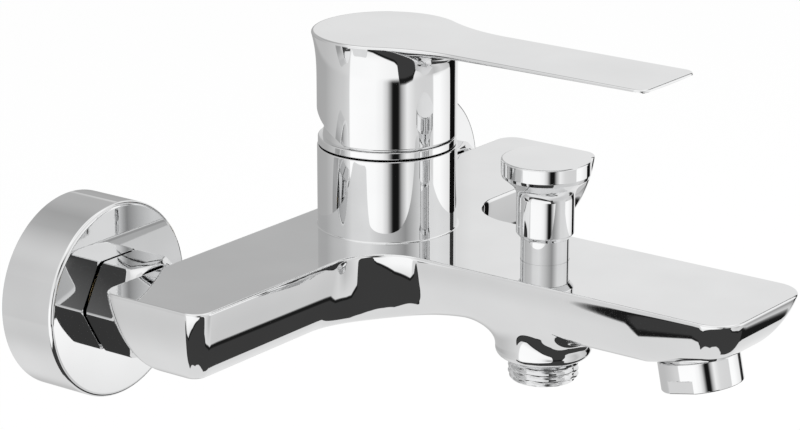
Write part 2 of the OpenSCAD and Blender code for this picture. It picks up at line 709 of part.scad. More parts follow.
module handle() {
    socket_r_out = stem_w / 2 * sqrt(2) + socket_wall - 1.6;
    screw_r = screw_d / 2;
    color(CHROME) at_tower() difference() {
        union() {
            difference() {
                union() {
                    handle_skirt();
                    lever_blade();
                }
                handle_hollow();
            }
            translate([0, 0, hub_low_z]) cylinder(r = socket_r_out, h = ceiling_z - hub_low_z + 1);
            translate([0, 0, screw_z]) rotate([-90, 0, 0]) cylinder(r = screw_r + 2, h = tower_r - 1);
        }
        translate([-stem_w / 2 - seat_clear, -stem_w / 2 - seat_clear, hub_low_z - 1])
            cube([stem_w + 2 * seat_clear, stem_w + 2 * seat_clear, stem_top + 0.5 - hub_low_z + 1]);
        translate([0, 0, screw_z]) rotate([-90, 0, 0]) cylinder(r = screw_r, h = tower_r + 1);
        translate([0, tower_r - 3.2, screw_z]) rotate([-90, 0, 0])
            cylinder(r = plug_d / 2 + seat_clear, h = 6);
        translate([-tower_r - 2, 0, skirt_z]) rotate([cut_angle, 0, 0])
            translate([0, 0, -40]) cube([2 * tower_r + 4, 60, 40]);
    }
}

// Grub screw with a hexagonal socket; it bears on the stem
module handle_screw() {
    from = stem_w / 2 + seat_clear;
    color(STEEL) at_tower() translate([0, from, screw_z]) rotate([-90, 0, 0]) difference() {
        cylinder(r = screw_d / 2 - thread_clear, h = 8);
        translate([0, 0, 5]) cylinder(r = 0.28 * screw_d, h = 4, $fn = 6);
    }
}

module index_plug() {
    r = plug_d / 2;
    color(RED) at_tower() translate([0, tower_r - 3, screw_z]) rotate([-90, 0, 0]) rotate_extrude()
        polygon([[0, 0], [r, 0], [r, 2.8], [r - 0.4, 3.2], [0, 3.4]]);
}

// Bush: a cage below the deck with a window to the spout, and a neck above it that guides knob and spindle
module diverter_bush() {
    groove_z = deck_z + 8;
    color(CHROME) at_diverter() difference() {
        translate([0, 0, upper_seat_z]) cylinder(r = bush_r, h = bush_top - upper_seat_z);
        translate([0, 0, upper_seat_z - 1]) cylinder(r = cage_r, h = bush_ceiling - upper_seat_z + 1);
        translate([0, 0, upper_seat_z]) cylinder(r = spindle_r + run_clear, h = bush_top);
        ring(spindle_r + 2, spindle_r, groove_z - 1, groove_z + 1);
        ring(bush_r + 1, bush_r - 1.2, deck_z - 1.9, deck_z - 0.6);
        translate([0, 0, spout_duct_z]) rotate([90, 0, 0]) cylinder(r = spout_duct_r, h = bush_r + 1);
    }
}

// O-rings round the spindle and round the bush
module bush_seals() {
    color(RUBBER) at_diverter() {
        o_ring(spindle_r + 0.95, 0.9, deck_z + 8);
        o_ring(bush_r - 0.55, 0.58, deck_z - 1.25);
    }
}

// Knob: a shank that slides on the bush, a hollow flare, and a round cap
module diverter_knob() {
    r = cap_d / 2;
    chamfer = 1.4;
    bend_r = 5;
    slope = 50;
    cap_low = knob_top - cap_t;
    straight = (r - 0.3 - shank_r - bend_r * (1 - cos(slope))) / tan(slope);
    flare_z = cap_low - 1.1 - straight - bend_r * sin(slope);
    color(CHROME) at_diverter() difference() {
        rotate_extrude() polygon(concat(
            [[0, knob_low], [shank_r - chamfer + 0.2, knob_low], [shank_r, knob_low + chamfer]],
            arc([shank_r + bend_r, flare_z], bend_r, 180, 180 - slope, 5),
            [[r - 0.3, cap_low - 1.1], [r, cap_low], [r, knob_top - 0.5], [r - 0.5, knob_top], [0, knob_top]]
        ));
        translate([0, 0, knob_low - 1]) cylinder(r = knob_bore_r, h = knob_ceiling - knob_low + 1);
        translate([0, 0, knob_ceiling - 1]) cylinder(r = spindle_r + thread_clear, h = 5);
    }
}

module diverter_spindle() {
    color(STEEL) at_diverter() {
        translate([0, 0, valve_z + valve_t]) cylinder(r = spindle_r, h = knob_ceiling + 3.8 - valve_z - valve_t);
        translate([0, 0, valve_z - 2.6]) cylinder(r = spindle_pin_r, h = valve_t + 3);
    }
}

module diverter_valve() {
    color(BRASS) at_diverter() ring(valve_d / 2, spindle_pin_r + thread_clear, valve_z, valve_z + valve_t - 0.02);
}

// Flat rubber rings on both faces of the valve
module valve_seals() {
    color(RUBBER) at_diverter() {
        ring(valve_d / 2, valve_d / 2 - 1.3, valve_z - seal_t, valve_z - 0.02);
        ring(valve_d / 2, valve_d / 2 - 1.3, valve_z + valve_t, valve_z + valve_t + seal_t);
    }
}

module valve_nut() {
    color(STEEL) at_diverter() translate([0, 0, valve_z - 2.4]) difference() {
        cylinder(r = 3.4, h = 2.38, $fn = 6);
        translate([0, 0, -1]) cylinder(r = spindle_pin_r + thread_clear, h = 5);
    }
}

// Return spring round the spindle, from the valve up to the bush's ceiling
SPRING_SIDES = 6;
SPRING_STEPS = 12;
module diverter_spring() {
    r = spindle_r + 1.3;
    low = valve_z + valve_t + wire_d / 2 + 0.15;
    high = bush_ceiling - wire_d / 2 - 0.15;
    rings = spring_turns * SPRING_STEPS;
    points = [for (i = [0 : rings], j = [0 : SPRING_SIDES - 1]) let (
        a = 360 * i / SPRING_STEPS, b = 360 * j / SPRING_SIDES, q = r + wire_d / 2 * cos(b)
    ) [q * cos(a), q * sin(a), low + (high - low) * i / rings + wire_d / 2 * sin(b)]];
    n = SPRING_SIDES;
    sides = [for (i = [0 : rings - 1], j = [0 : n - 1], half = [0, 1])
        let (a = i * n + j, b = i * n + (j + 1) % n, c = b + n, d = a + n) half == 0 ? [a, b, c] : [a, c, d]];
    color(STEEL) at_diverter() polyhedron(
        points = points,
        faces = concat(sides, [[for (j = [n - 1 : -1 : 0]) j]], [[for (j = [0 : n - 1]) rings * n + j]]),
        convexity = 10
    );
}

// Threaded outlet for the hose; its top is the valve's lower seat
module hose_nipple() {
    low = boss_low - hose_thread_l;
    shoulder = boss_low - 0.05;
    seat_bore = valve_d / 2 - 1.6;
    thread_r = hose_thread_d / 2;
    color(CHROME) at_diverter() rotate_extrude() polygon([
        [hose_bore / 2, low], [thread_r - 1, low], [thread_r, low + 1], [thread_r, shoulder],
        [nipple_screw_r, shoulder], [nipple_screw_r, valve_seat_z - 0.02], [seat_bore, valve_seat_z - 0.02],
        [seat_bore, boss_low + 2.8], [hose_bore / 2, boss_low + 1.6]
    ]);
}

// Non-return valve: a cage in the hose outlet with a small poppet on a cross
module hose_check_valve() {
    low = boss_low - hose_thread_l + 1;
    high = boss_low + 1.4;
    r = hose_bore / 2 - 0.05;
    color(PLASTIC) at_diverter() {
        ring(r, r - 1.2, low, high);
        for (a = [0, 90]) rotate([0, 0, a]) translate([-r + 0.6, -0.6, low]) cube([2 * r - 1.2, 1.2, 2]);
        translate([0, 0, low]) cylinder(r = 1.4, h = high - low - 1);
        translate([0, 0, high - 2.2]) cylinder(r1 = 1.4, r2 = r - 2, h = 1.2);
    }
}

// Aerator's ring, screwed on the spigot, with two spanner flats at its lower end
module aerator_housing() {
    top = -0.15;
    low = -aerator_l;
    lip = 1.2;
    flat_h = 3;
    color(CHROME) at_aerator() difference() {
        rotate_extrude() polygon([
            [aerator_r - 0.3, low], [aerator_r, low + 0.3], [aerator_r, top],
            [spigot_r + thread_clear, top], [spigot_r + thread_clear, low + lip],
            [aerator_r - 2.4, low + lip], [aerator_r - 2.4, low]
        ]);
        for (side = [-1, 1]) translate([side * (aerator_flats / 2 + 5), 0, low + flat_h / 2 - 0.5])
            cube([10, 40, flat_h + 1], center = true);
    }
}

// Flow former inside the housing: a drum with a ring of fins at its mouth
module aerator_insert() {
    low = -aerator_l + 1.2 + seat_clear;
    high = -spigot_l - 1.3;
    r = spigot_r - 0.15;
    color(PLASTIC) at_aerator() {
        ring(r, r - 1.2, low, high);
        ring(5.2, 4.2, low, high);
        for (a = [0 : 30 : 150]) rotate([0, 0, a]) translate([-r + 0.6, -0.35, low])
            cube([2 * r - 1.2, 0.7, high - low]);
    }
}

// Round sieve on top of the insert
module aerator_screen() {
    z = -spigot_l - 1.25;
    color(STEEL) at_aerator() difference() {
        translate([0, 0, z]) cylinder(r = spigot_r - 0.6, h = 0.4);
        for (r = [2.6, 5.6], a = [0 : 60 : 300]) rotate([0, 0, a + r * 10]) translate([r, 0, z - 1])
            cylinder(r = 0.9, h = 3, $fn = 24);
    }
}

module aerator_washer() {
    color(RUBBER) at_aerator() ring(spigot_r - 0.2, spigot_bore, -spigot_l - 0.8, -spigot_l - seat_clear);
}

body();
rosette(-1);  // left_rosette
rosette(1);  // right_rosette
union_nut(-1);  // left_union_nut
union_nut(1);  // right_union_nut
eccentric_union(-1);  // left_eccentric_union
eccentric_union(1);  // right_eccentric_union
inlet_nipple(-1);  // left_inlet_nipple
inlet_nipple(1);  // right_inlet_nipple
inlet_washer(-1);  // left_inlet_washer
inlet_washer(1);  // right_inlet_washer
cartridge_base();
cartridge_seals();
fixed_disc();
moving_disc();
disc_carrier();
cartridge_housing();
rotary_hub();
hub_pin();
lever_stem();
clamp_nut();
dome_cover();
dome_seal();
handle();
handle_screw();
index_plug();
diverter_bush();
bush_seals();
diverter_knob();
diverter_spindle();
diverter_valve();
valve_seals();
valve_nut();
diverter_spring();
hose_nipple();
hose_check_valve();
aerator_housing();
aerator_insert();
aerator_screen();
aerator_washer();
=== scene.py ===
# %% [markdown]
# # A wall mounted bath faucet, piece by piece
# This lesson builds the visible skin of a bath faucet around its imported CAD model: a T-shaped casting
# on two wall unions, a lever, a pull-up diverter, a hose outlet and an aerator.
# The real thing is cast and turned brass under mirror chrome. Mirror metal hides nothing: a facet or a
# bad normal shows at once as a kink in a reflection. So the chrome pieces, and the brass unions that
# carry them, are worked out again here as fine numpy surfaces. The works inside the faucet keep their
# CAD meshes and only get a finish.

# %% Load the frame
import json
import math

import bpy
import numpy as np
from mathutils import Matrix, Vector
from mathutils.geometry import delaunay_2d_cdt


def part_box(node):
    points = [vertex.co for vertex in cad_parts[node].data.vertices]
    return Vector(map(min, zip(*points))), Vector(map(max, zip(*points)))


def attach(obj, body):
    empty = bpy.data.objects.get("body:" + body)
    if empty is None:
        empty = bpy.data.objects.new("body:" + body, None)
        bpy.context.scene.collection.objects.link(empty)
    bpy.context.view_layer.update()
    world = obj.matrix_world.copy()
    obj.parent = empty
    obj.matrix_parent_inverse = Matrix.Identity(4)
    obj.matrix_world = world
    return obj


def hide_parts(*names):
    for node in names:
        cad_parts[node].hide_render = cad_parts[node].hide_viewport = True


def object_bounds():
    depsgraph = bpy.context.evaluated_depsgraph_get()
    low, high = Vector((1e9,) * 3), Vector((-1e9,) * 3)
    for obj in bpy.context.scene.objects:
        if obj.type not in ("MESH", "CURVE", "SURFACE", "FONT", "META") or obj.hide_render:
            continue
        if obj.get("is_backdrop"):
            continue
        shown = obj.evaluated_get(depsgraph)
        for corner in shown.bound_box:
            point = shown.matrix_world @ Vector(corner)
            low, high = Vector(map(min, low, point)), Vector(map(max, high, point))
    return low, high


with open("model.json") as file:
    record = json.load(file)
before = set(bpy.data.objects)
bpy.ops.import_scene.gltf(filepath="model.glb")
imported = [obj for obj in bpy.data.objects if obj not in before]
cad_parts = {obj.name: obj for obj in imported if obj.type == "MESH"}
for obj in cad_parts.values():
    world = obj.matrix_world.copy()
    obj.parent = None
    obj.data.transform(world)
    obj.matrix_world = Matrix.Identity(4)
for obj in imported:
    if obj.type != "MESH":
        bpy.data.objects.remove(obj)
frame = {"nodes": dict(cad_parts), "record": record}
cad_low, cad_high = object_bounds()
MM = 1000.0                          # millimetres in a metre


def show_box(title, low, high):
    """Prints a box given in metres, in millimetres."""
    print(title, [round(MM * v, 2) for v in (*low, *high)])


show_box("CAD box in mm:", cad_low, cad_high)

# %% [markdown]
# ## Where everything sits
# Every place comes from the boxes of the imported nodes, so that a piece lands where the CAD has it. Lengths
# in this lesson are millimetres; a mesh is scaled to metres when it is made. The wall is at y = 0, and
# the spout points along -Y.

# %% Read the places from the frame
def box_mm(node):
    """Lowest and highest corner of a CAD node, in millimetres."""
    low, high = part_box(node)
    return np.array(low) * MM, np.array(high) * MM


def middle_mm(node):
    """Centre of a CAD node's box, in millimetres."""
    low, high = box_mm(node)
    return (low + high) / 2.0


body_low, body_high = box_mm("body")
ARM_END, ARM_BACK, TIP_Y = body_high[0], body_high[1], body_low[1]
TOWER_TOP, BOSS_LOW = body_high[2], body_low[2]
TOWER_Y = middle_mm("clamp_nut")[1]
DIVERTER_Y = middle_mm("hose_nipple")[1]
BUSH_TOP, BUSH_STANDS = box_mm("diverter_bush")[1][2], 22.0
DECK = BUSH_TOP - BUSH_STANDS        # the bush stands this far out of the deck
INLET_X = middle_mm("right_rosette")[0]
HANDLE_TOP = box_mm("handle")[1][2]
LEVER_TIP = box_mm("handle")[0][1]
print(f"deck at {DECK:.2f}, inlets at x {INLET_X:.2f}")
print(f"tower at y {TOWER_Y:.2f}, diverter at y {DIVERTER_Y:.2f}")

# %% [markdown]
# ## The camera
# A long lens from a little above, on the left of the spout: the left arm comes towards the viewer and
# the spout runs to the right.

# %% Set the camera
CAMERA_AT, CAMERA_TO = (-0.7212, -0.6081, 0.2995), (0.00634, -0.0605, 0.01321)       # metres


def aim(thing, at, to):
    """Puts an object at a place and turns its -Z axis, along which cameras and lamps look, to another."""
    thing.location = at
    thing.rotation_euler = (Vector(to) - Vector(at)).to_track_quat("-Z", "Y").to_euler()
    bpy.context.scene.collection.objects.link(thing)


camera = bpy.data.objects.new("camera", bpy.data.cameras.new("camera"))
aim(camera, CAMERA_AT, CAMERA_TO)
camera.data.sensor_width, camera.data.lens = 36.0, 141.8
camera.data.clip_start, camera.data.clip_end = 0.05, 20.0
bpy.context.scene.camera = camera
print(f"camera {math.dist(CAMERA_AT, CAMERA_TO):.2f} m away, with a {camera.data.lens:.0f} mm lens")

# %% [markdown]
# ## Tools for surfaces
# A surface here is a grid of points: rows run along one parameter, columns along the other. One helper
# turns a grid into faces, and one welds points that fall together, because at a pole all columns meet in
# one point. A closed shell then turns itself outwards if its signed volume comes out negative.

# %% From grids to meshes
def grid_quads(rows, cols, wrap=True, start=0):
    """Quads between neighbouring rows of a grid; with wrap the last column meets the first again."""
    i = start + np.arange(rows - 1)[:, None] * cols
    j = np.arange(cols if wrap else cols - 1)[None, :]
    k = (j + 1) % cols
    return np.stack([i + j, i + k, i + cols + k, i + cols + j], -1).reshape(-1, 4)


def weld(points, quads, tris, ngons):
    """Joins equal points, turns quads with one lost corner into triangles and drops empty faces."""
    _, first, back = np.unique(np.round(points, 6), axis=0, return_index=True, return_inverse=True)
    back = back.reshape(-1)
    points = points[first]
    quads, tris = back[quads], back[tris]
    lost = quads == np.roll(quads, -1, axis=1)
    three = quads[lost.sum(1) == 1]
    tris = np.concatenate([tris, three[~lost[lost.sum(1) == 1]].reshape(-1, 3)])
    quads = quads[lost.sum(1) == 0]
    good = (tris[:, 0] != tris[:, 1]) & (tris[:, 1] != tris[:, 2]) & (tris[:, 2] != tris[:, 0])
    return points, quads, tris[good], [back[n] for n in ngons]


def signed_volume(points, faces):
    """Sum of the tetrahedra between the origin and each face, as a fan of triangles."""
    total = 0.0
    for k in range(1, faces.shape[1] - 1):
        a, b, c = points[faces[:, 0]], points[faces[:, k]], points[faces[:, k + 1]]
        total += np.einsum("ij,ij->i", a, np.cross(b, c)).sum() / 6.0
    return total


class Shell:
    """One closed surface in millimetres: points, quads, triangles and flat many-sided faces."""

    def __init__(self, points, quads=None, tris=None, ngons=()):
        quads = np.zeros((0, 4), int) if quads is None else np.asarray(quads)
        tris = np.zeros((0, 3), int) if tris is None else np.asarray(tris)
        self.points, self.quads, self.tris, self.ngons = weld(
            np.asarray(points, float).reshape(-1, 3), quads, tris, [np.asarray(n) for n in ngons])
        volume = signed_volume(self.points, self.quads) + signed_volume(self.points, self.tris)
        volume += sum(signed_volume(self.points, n[None, :]) for n in self.ngons)
        if volume < 0:
            self.quads, self.tris = self.quads[:, ::-1], self.tris[:, ::-1]
            self.ngons = [n[::-1] for n in self.ngons]
        self.volume = abs(volume)


# %% [markdown]
# Turned pieces are profiles carried round an axis. A real turned edge is never perfectly sharp, and its
# small round is what catches the light. `soft_path` walks along a corner list and puts an arc at each
# corner, with one more point on the flat on each side of it: those points stop the arc's normals from
# leaking into the flat, which would bend the reflections there.

# %% Profiles and turned shells
HOLD = 0.12          # distance of the holding point from an arc


def soft_path(corners, closed=True, steps=6):
    """Path through (u, v, round) corners: arcs of that radius, joined by straights with holding points."""
    c = np.array([k[:2] for k in corners], float)
    rounds = [k[2] if len(k) > 2 else 0.0 for k in corners]
    path = []
    for i, here in enumerate(c):
        if not closed and i in (0, len(c) - 1):
            path.append(here[None, :])
            continue
        before, after = c[i - 1] - here, c[(i + 1) % len(c)] - here
        len_before, len_after = np.linalg.norm(before), np.linalg.norm(after)
        before, after = before / len_before, after / len_after
        opening = math.acos(np.clip(before @ after, -1, 1))
        reach = 0.0
        if rounds[i] > 0:
            reach = min(rounds[i] / math.tan(opening / 2), 0.49 * min(len_before, len_after))
        if reach < 1e-6:
            hold = [here + before * HOLD] if len_before > 3 * HOLD else []
            hold += [here] + ([here + after * HOLD] if len_after > 3 * HOLD else [])
            path.append(np.array(hold))
            continue
        r = reach * math.tan(opening / 2)
        centre = here + (before + after) / np.linalg.norm(before + after) * r / math.sin(opening / 2)
        a, b = here + before * reach - centre, here + after * reach - centre
        swing = math.acos(np.clip(a @ b / (r * r), -1, 1))
        t = np.linspace(0, 1, steps + 1)[:, None]
        arc = centre + (np.sin((1 - t) * swing) * a + np.sin(t * swing) * b) / math.sin(swing)
        lead = [here + before * (reach + HOLD)] if len_before > 2 * reach + 3 * HOLD else []
        tail = [here + after * (reach + HOLD)] if len_after > 2 * reach + 3 * HOLD else []
        path.append(np.concatenate([np.array(lead).reshape(-1, 2), arc, np.array(tail).reshape(-1, 2)]))
    return np.concatenate(path)


UP = (0, 0, 1)


def axis_frame(direction):
    """Two directions across an axis, and the axis itself, as rows."""
    axis = np.array(direction, float) / np.linalg.norm(direction)
    side = np.array([1.0, 0.0, 0.0]) if abs(axis[0]) < 0.9 else np.array([0.0, 1.0, 0.0])
    across = np.cross(axis, side)
    across /= np.linalg.norm(across)
    return np.cross(across, axis), across, axis


def angles(sides):
    """Angles of the spokes, evenly spaced round the axis."""
    return np.linspace(0, 2 * np.pi, sides, endpoint=False)


def spokes(direction, sides):
    """Unit vectors across an axis: cos a * x + sin a * y."""
    x, y, _ = axis_frame(direction)
    a = angles(sides)[:, None]
    return np.cos(a) * x + np.sin(a) * y


def round_grid(rows, origin, direction=UP, sides=160):
    """Grid round an axis: point(row, column) = origin + radius * spoke(column) + height * axis.

    A row is (radius, height), and each of the two is one number or an array with one number per spoke.
    """
    r, h = (np.array([np.broadcast_to(row[k], sides) for row in rows])[..., None] for k in (0, 1))
    return np.asarray(origin, float) + r * spokes(direction, sides) + h * axis_frame(direction)[2]


def turned(rows, origin, direction=UP, sides=160, closed=True):
    """Shell of such a grid: closed joins its last row to the first, an open one ends on the axis."""
    grid = round_grid(rows, origin, direction, sides)
    if closed:
        grid = np.concatenate([grid, grid[:1]])
    return Shell(grid, grid_quads(len(grid), sides))


trial = turned([(0, 0), (10, 0), (10, 20), (0, 20)], (0, 0, 0), closed=False)
print(f"trial cylinder: {trial.volume:.0f} mm3, by the book {math.pi * 10 ** 2 * 20:.0f} mm3")

# %% [markdown]
# ## Finishes
# Chrome plate is a mirror, but not a perfect one: polishing leaves a faint haze that varies over the
# surface and a very slow waviness. Both come from noise on the object's own coordinates: one noise moves
# the roughness between two small values, another moves a bump of a few micrometres.

# %% Node helpers
def add_node(tree, kind, inputs=None, **settings):
    """New node; inputs maps a socket to a number, a colour or another node's socket, settings are its own."""
    node = tree.nodes.new("ShaderNode" + kind)
    for name, value in settings.items():
        setattr(node, name, value)
    for place, value in (inputs or {}).items():
        if isinstance(value, bpy.types.NodeSocket):
            tree.links.new(value, node.inputs[place])
        else:
            node.inputs[place].default_value = value
    return node


def calc(tree, operation, *values):
    """Result of a Math node on numbers or sockets."""
    return add_node(tree, "Math", dict(enumerate(values)), operation=operation).outputs[0]


def mix_colours(tree, share, first, second):
    """First where share is 0, second where it is 1; each is a socket or a linear grey."""
    both = {6: first, 7: second}
    for place, colour in both.items():
        if not isinstance(colour, bpy.types.NodeSocket):
            both[place] = (colour, colour, colour, 1.0)
    return add_node(tree, "Mix", {0: share, **both}, data_type="RGBA").outputs[2]


# %% Make the materials
NOISE_SPAN = (0.3, 0.7)              # most of a noise lies between these
BUMP_STRENGTH = 0.6


def finish(name, low, high, metallic, rough, grain, bump, wave=0.0, wave_scale=40.0, coat=0.0):
    """Principled finish: colour from low to high, roughness between rough's ends, fine bump, slow waves."""
    material = bpy.data.materials.new(name)
    material.use_nodes = True
    tree = material.node_tree
    shader = tree.nodes["Principled BSDF"]
    shader.inputs["Metallic"].default_value = metallic
    shader.inputs["Coat Weight"].default_value = coat
    place = add_node(tree, "TexCoord").outputs["Object"]
    fine = add_node(tree, "TexNoise", {"Vector": place, "Scale": grain, "Detail": 5.0}).outputs["Fac"]
    slow = add_node(tree, "TexNoise", {"Vector": place, "Scale": wave_scale, "Detail": 2.0}).outputs["Fac"]
    colour = add_node(tree, "ValToRGB", {"Fac": slow})
    for element, at, shade in zip(colour.color_ramp.elements, NOISE_SPAN, (low, high)):
        element.position, element.color = at, (*shade, 1.0)
    haze = add_node(tree, "MapRange", {"Value": fine, "From Min": NOISE_SPAN[0], "From Max": NOISE_SPAN[1],
                                       "To Min": rough[0], "To Max": rough[1]})
    normal = add_node(tree, "Bump", {"Strength": BUMP_STRENGTH, "Distance": bump, "Height": fine}).outputs[0]
    if wave > 0:
        normal = add_node(tree, "Bump", {"Strength": BUMP_STRENGTH, "Distance": wave, "Height": slow,
                                         "Normal": normal}).outputs[0]
    tree.links.new(colour.outputs["Color"], shader.inputs["Base Color"])
    tree.links.new(haze.outputs["Result"], shader.inputs["Roughness"])
    tree.links.new(normal, shader.inputs["Normal"])
    return material


FINISHES = {
    "chrome": finish("mirror_chrome", (0.80, 0.803, 0.806), (0.84, 0.843, 0.846), 1.0, (0.012, 0.035), 900.0,
                     2e-8, wave=6e-6, wave_scale=45.0),
    "brass": finish("turned_brass", (0.70, 0.53, 0.27), (0.80, 0.64, 0.37), 1.0, (0.16, 0.30), 2600.0,
                    1.5e-6),
    "steel": finish("turned_steel", (0.56, 0.57, 0.59), (0.66, 0.68, 0.70), 1.0, (0.16, 0.30), 2200.0,
                    1.5e-6),
    "rubber": finish("black_rubber", (0.055, 0.055, 0.062), (0.085, 0.085, 0.095), 0.0, (0.55, 0.75), 3000.0,
                     6e-6),
    "ceramic": finish("lapped_ceramic", (0.90, 0.89, 0.86), (0.95, 0.94, 0.91), 0.0, (0.14, 0.24), 5000.0,
                      1e-6),
    "white_plastic": finish("white_plastic", (0.83, 0.83, 0.81), (0.88, 0.88, 0.86), 0.0, (0.38, 0.5), 2600.0,
                            3e-6),
    "grey_plastic": finish("grey_plastic", (0.33, 0.35, 0.38), (0.39, 0.41, 0.44), 0.0, (0.38, 0.5), 2600.0,
                           3e-6),
    "index_red": finish("index_red", (0.70, 0.07, 0.06), (0.80, 0.10, 0.08), 0.0, (0.18, 0.28), 3000.0, 2e-6,
                        coat=0.3),
}
print(len(FINISHES), "finishes:", ", ".join(FINISHES))

# %% [markdown]
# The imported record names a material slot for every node. The inner pieces keep their CAD meshes, so they
# only get the finish of their slot: brass and steel where metal is turned, rubber for the seals.

# %% Give every CAD node its finish
for part in frame["record"]["subparts"]:
    node = frame["nodes"][part["node"]]
    node.data.materials.clear()
    node.data.materials.append(FINISHES[part["material_slot"]])

# %% [markdown]
# A piece that shows gets a mesh of its own in the place of its CAD node. It is smooth all over, apart
# from edges that are sharper than a given angle, it rides on the same body as the node, and it takes
# the finish of its slot.

# %% Make a piece
def add_piece(name, shells, body, slot, *nodes, crease=38.0):
    """One mesh of closed shells in the slot's finish, smooth but for edges sharper than crease degrees."""
    points, faces, start = [], [], 0
    for shell in shells:
        points.append(shell.points)
        for group in (shell.quads, shell.tris, *shell.ngons):
            faces += np.atleast_2d(group + start).tolist()
        start += len(shell.points)
    mesh = bpy.data.meshes.new(name)
    mesh.from_pydata((np.concatenate(points) / MM).tolist(), [], faces)
    mesh.update()
    mesh.polygons.foreach_set("use_smooth", np.ones(len(mesh.polygons), bool))
    mesh.set_sharp_from_angle(angle=math.radians(crease))
    mesh.materials.append(FINISHES[slot])
    piece = bpy.data.objects.new(name, mesh)
    bpy.context.scene.collection.objects.link(piece)
    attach(piece, body)
    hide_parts(*nodes)
    triangles = sum(len(f) - 2 for f in faces)
    print(f"{name}: {triangles} triangles, {sum(s.volume for s in shells) / 1000:.2f} cm3")


# %% [markdown]
# ## The casting
# The body is one brass casting: two arms and a spout with one flat deck. Its sides lean in and round
# into the underside, the hollows between arms and spout are wide arcs, and the tip leans back over a
# ramp. The outline is written once, as corner arcs joined by straight runs, for any inset; rings of that
# outline from the deck down make the sides. The same count of points in every ring keeps the columns
# in line, so the surface is smooth in both directions.

# %% The outline of the T
SPOUT_HALF, ARM_FRONT = 22.25, ARM_BACK - 37.0
SPOUT_LOW = DECK - 19.75
RAMP_Y, RAMP_ANGLE = -161.5, math.radians(11.8)
RISE_START, RISE_RUN = ARM_FRONT + 9.5, 40.0
SIDE_INSET, TIP_INSET, TIP_RAKE = 16.0, 10.4, 2.0
RIM = 0.6                            # round of the deck's edge
RIM_LEVEL = DECK - RIM


def run(start, end, count):
    """Straight run of count points that leaves out its end."""
    t = np.linspace(0, 1, count, endpoint=False)[:, None]
    return np.array(start) * (1 - t) + np.array(end) * t


def bend(centre, r, start, end, count):
    """Arc of count points that leaves out its end; angles in degrees."""
    a = np.radians(np.linspace(start, end, count, endpoint=False))
    return np.array(centre) + r * np.stack([np.cos(a), np.sin(a)], -1)


COUNTS = dict(tip=8, tip_arc=26, ramp=10, spout=40, throat=48, front=20, corner=20, end=8, back=26)
SPOUT_END = sum(COUNTS[k] for k in ("tip", "tip_arc", "ramp", "spout", "throat"))


def half_outline(inset, tip_inset):
    """Right half of the T from the middle of the tip to the middle of the back, drawn in by inset."""
    side, end, front, back = SPOUT_HALF - inset, ARM_END - inset, ARM_FRONT + inset, ARM_BACK - inset
    tip = TIP_Y + tip_inset
    r_tip, r_arm, r_throat = 9.0 - 0.4 * inset, 5.5 - 0.2 * inset, 17.0 + inset
    n = COUNTS
    return np.concatenate([
        run((0, tip), (side - r_tip, tip), n["tip"]),
        bend((side - r_tip, tip + r_tip), r_tip, -90, 0, n["tip_arc"]),
        run((side, tip + r_tip), (side, RAMP_Y), n["ramp"]),
        run((side, RAMP_Y), (side, front - r_throat), n["spout"]),
        bend((side + r_throat, front - r_throat), r_throat, 180, 90, n["throat"]),
        run((side + r_throat, front), (end - r_arm, front), n["front"]),
        bend((end - r_arm, front + r_arm), r_arm, -90, 0, n["corner"]),
        run((end, front + r_arm), (end, back - r_arm), n["end"]),
        bend((end - r_arm, back - r_arm), r_arm, 0, 90, n["corner"]),
        run((end - r_arm, back), (0, back), n["back"]),
        [(0, back)],
    ])


def smooth01(t):
    """Smooth step from 0 to 1 with level ends."""
    t = np.clip(t, 0, 1)
    return t * t * (3 - 2 * t)


def underside(y):
    """Level of the underside: arms, a soft rise to the spout, level spout, then a ramp up to the tip."""
    rise = (SPOUT_LOW + DECK) * smooth01((RISE_START - y) / RISE_RUN)
    return -DECK + rise + np.maximum(0, RAMP_Y - y) * math.tan(RAMP_ANGLE)


LEAN, TUCK = 1.4, 0.36               # how late the sides lean in, and how sharply they round under


def inset_share(v):
    """Share of the full inset at a share v of the depth: a leaning side that rounds into the underside."""
    return 1 - (1 - v ** LEAN) ** TUCK


print(f"casting: {2 * ARM_END:.1f} mm across its arms, {ARM_BACK - TIP_Y:.1f} mm from back to tip")

# %% Rings from the deck down to the underside
RIM_RINGS, SIDE_RINGS = 9, 54
CROWDING = 1.7                       # rings crowd towards the underside, where the sides turn fastest


def casting_rings():
    """Half rings of the casting: an edge round of radius RIM, then the sides down to the underside."""
    levels = [(RIM + HOLD, RIM + HOLD, -1.0)]            # inset, inset of the tip, share of the depth
    for a in np.radians(np.linspace(90, 0, RIM_RINGS))[:-1]:
        levels.append((RIM * (1 - math.cos(a)), RIM * (1 - math.cos(a)), -math.sin(a)))
    for v in 1 - (1 - np.linspace(0, 1, SIDE_RINGS)) ** CROWDING:
        share = inset_share(v)
        levels.append((SIDE_INSET * share, TIP_INSET * share + TIP_RAKE * v, v))
    rings = []
    for inset, tip_inset, v in levels:
        half = half_outline(inset, tip_inset)
        z = RIM_LEVEL - v * RIM if v < 0 else RIM_LEVEL + v * (underside(half[:, 1]) - RIM_LEVEL)
        rings.append(np.column_stack([half, z * np.ones(len(half))]))
    return np.array(rings)


def mirrored(half):
    """Closes half rings into whole rings: the left half is the right one backwards, with x turned round."""
    return np.concatenate([half, (half * [-1, 1, 1])[..., -2:0:-1, :]], axis=-2)


half_rings = casting_rings()
rings = mirrored(half_rings)
print("casting:", rings.shape[0], "rings of", rings.shape[1], "points")

# %% [markdown]
# The deck is flat, so any triangles do, and a constrained Delaunay triangulation cuts the round holes
# for the tower and for the diverter's bush. The tower grows out of its hole: the ring of points round
# the hole is the first row of its wall. The underside is closed by rows across the spout, and by one flat
# face under the arms.

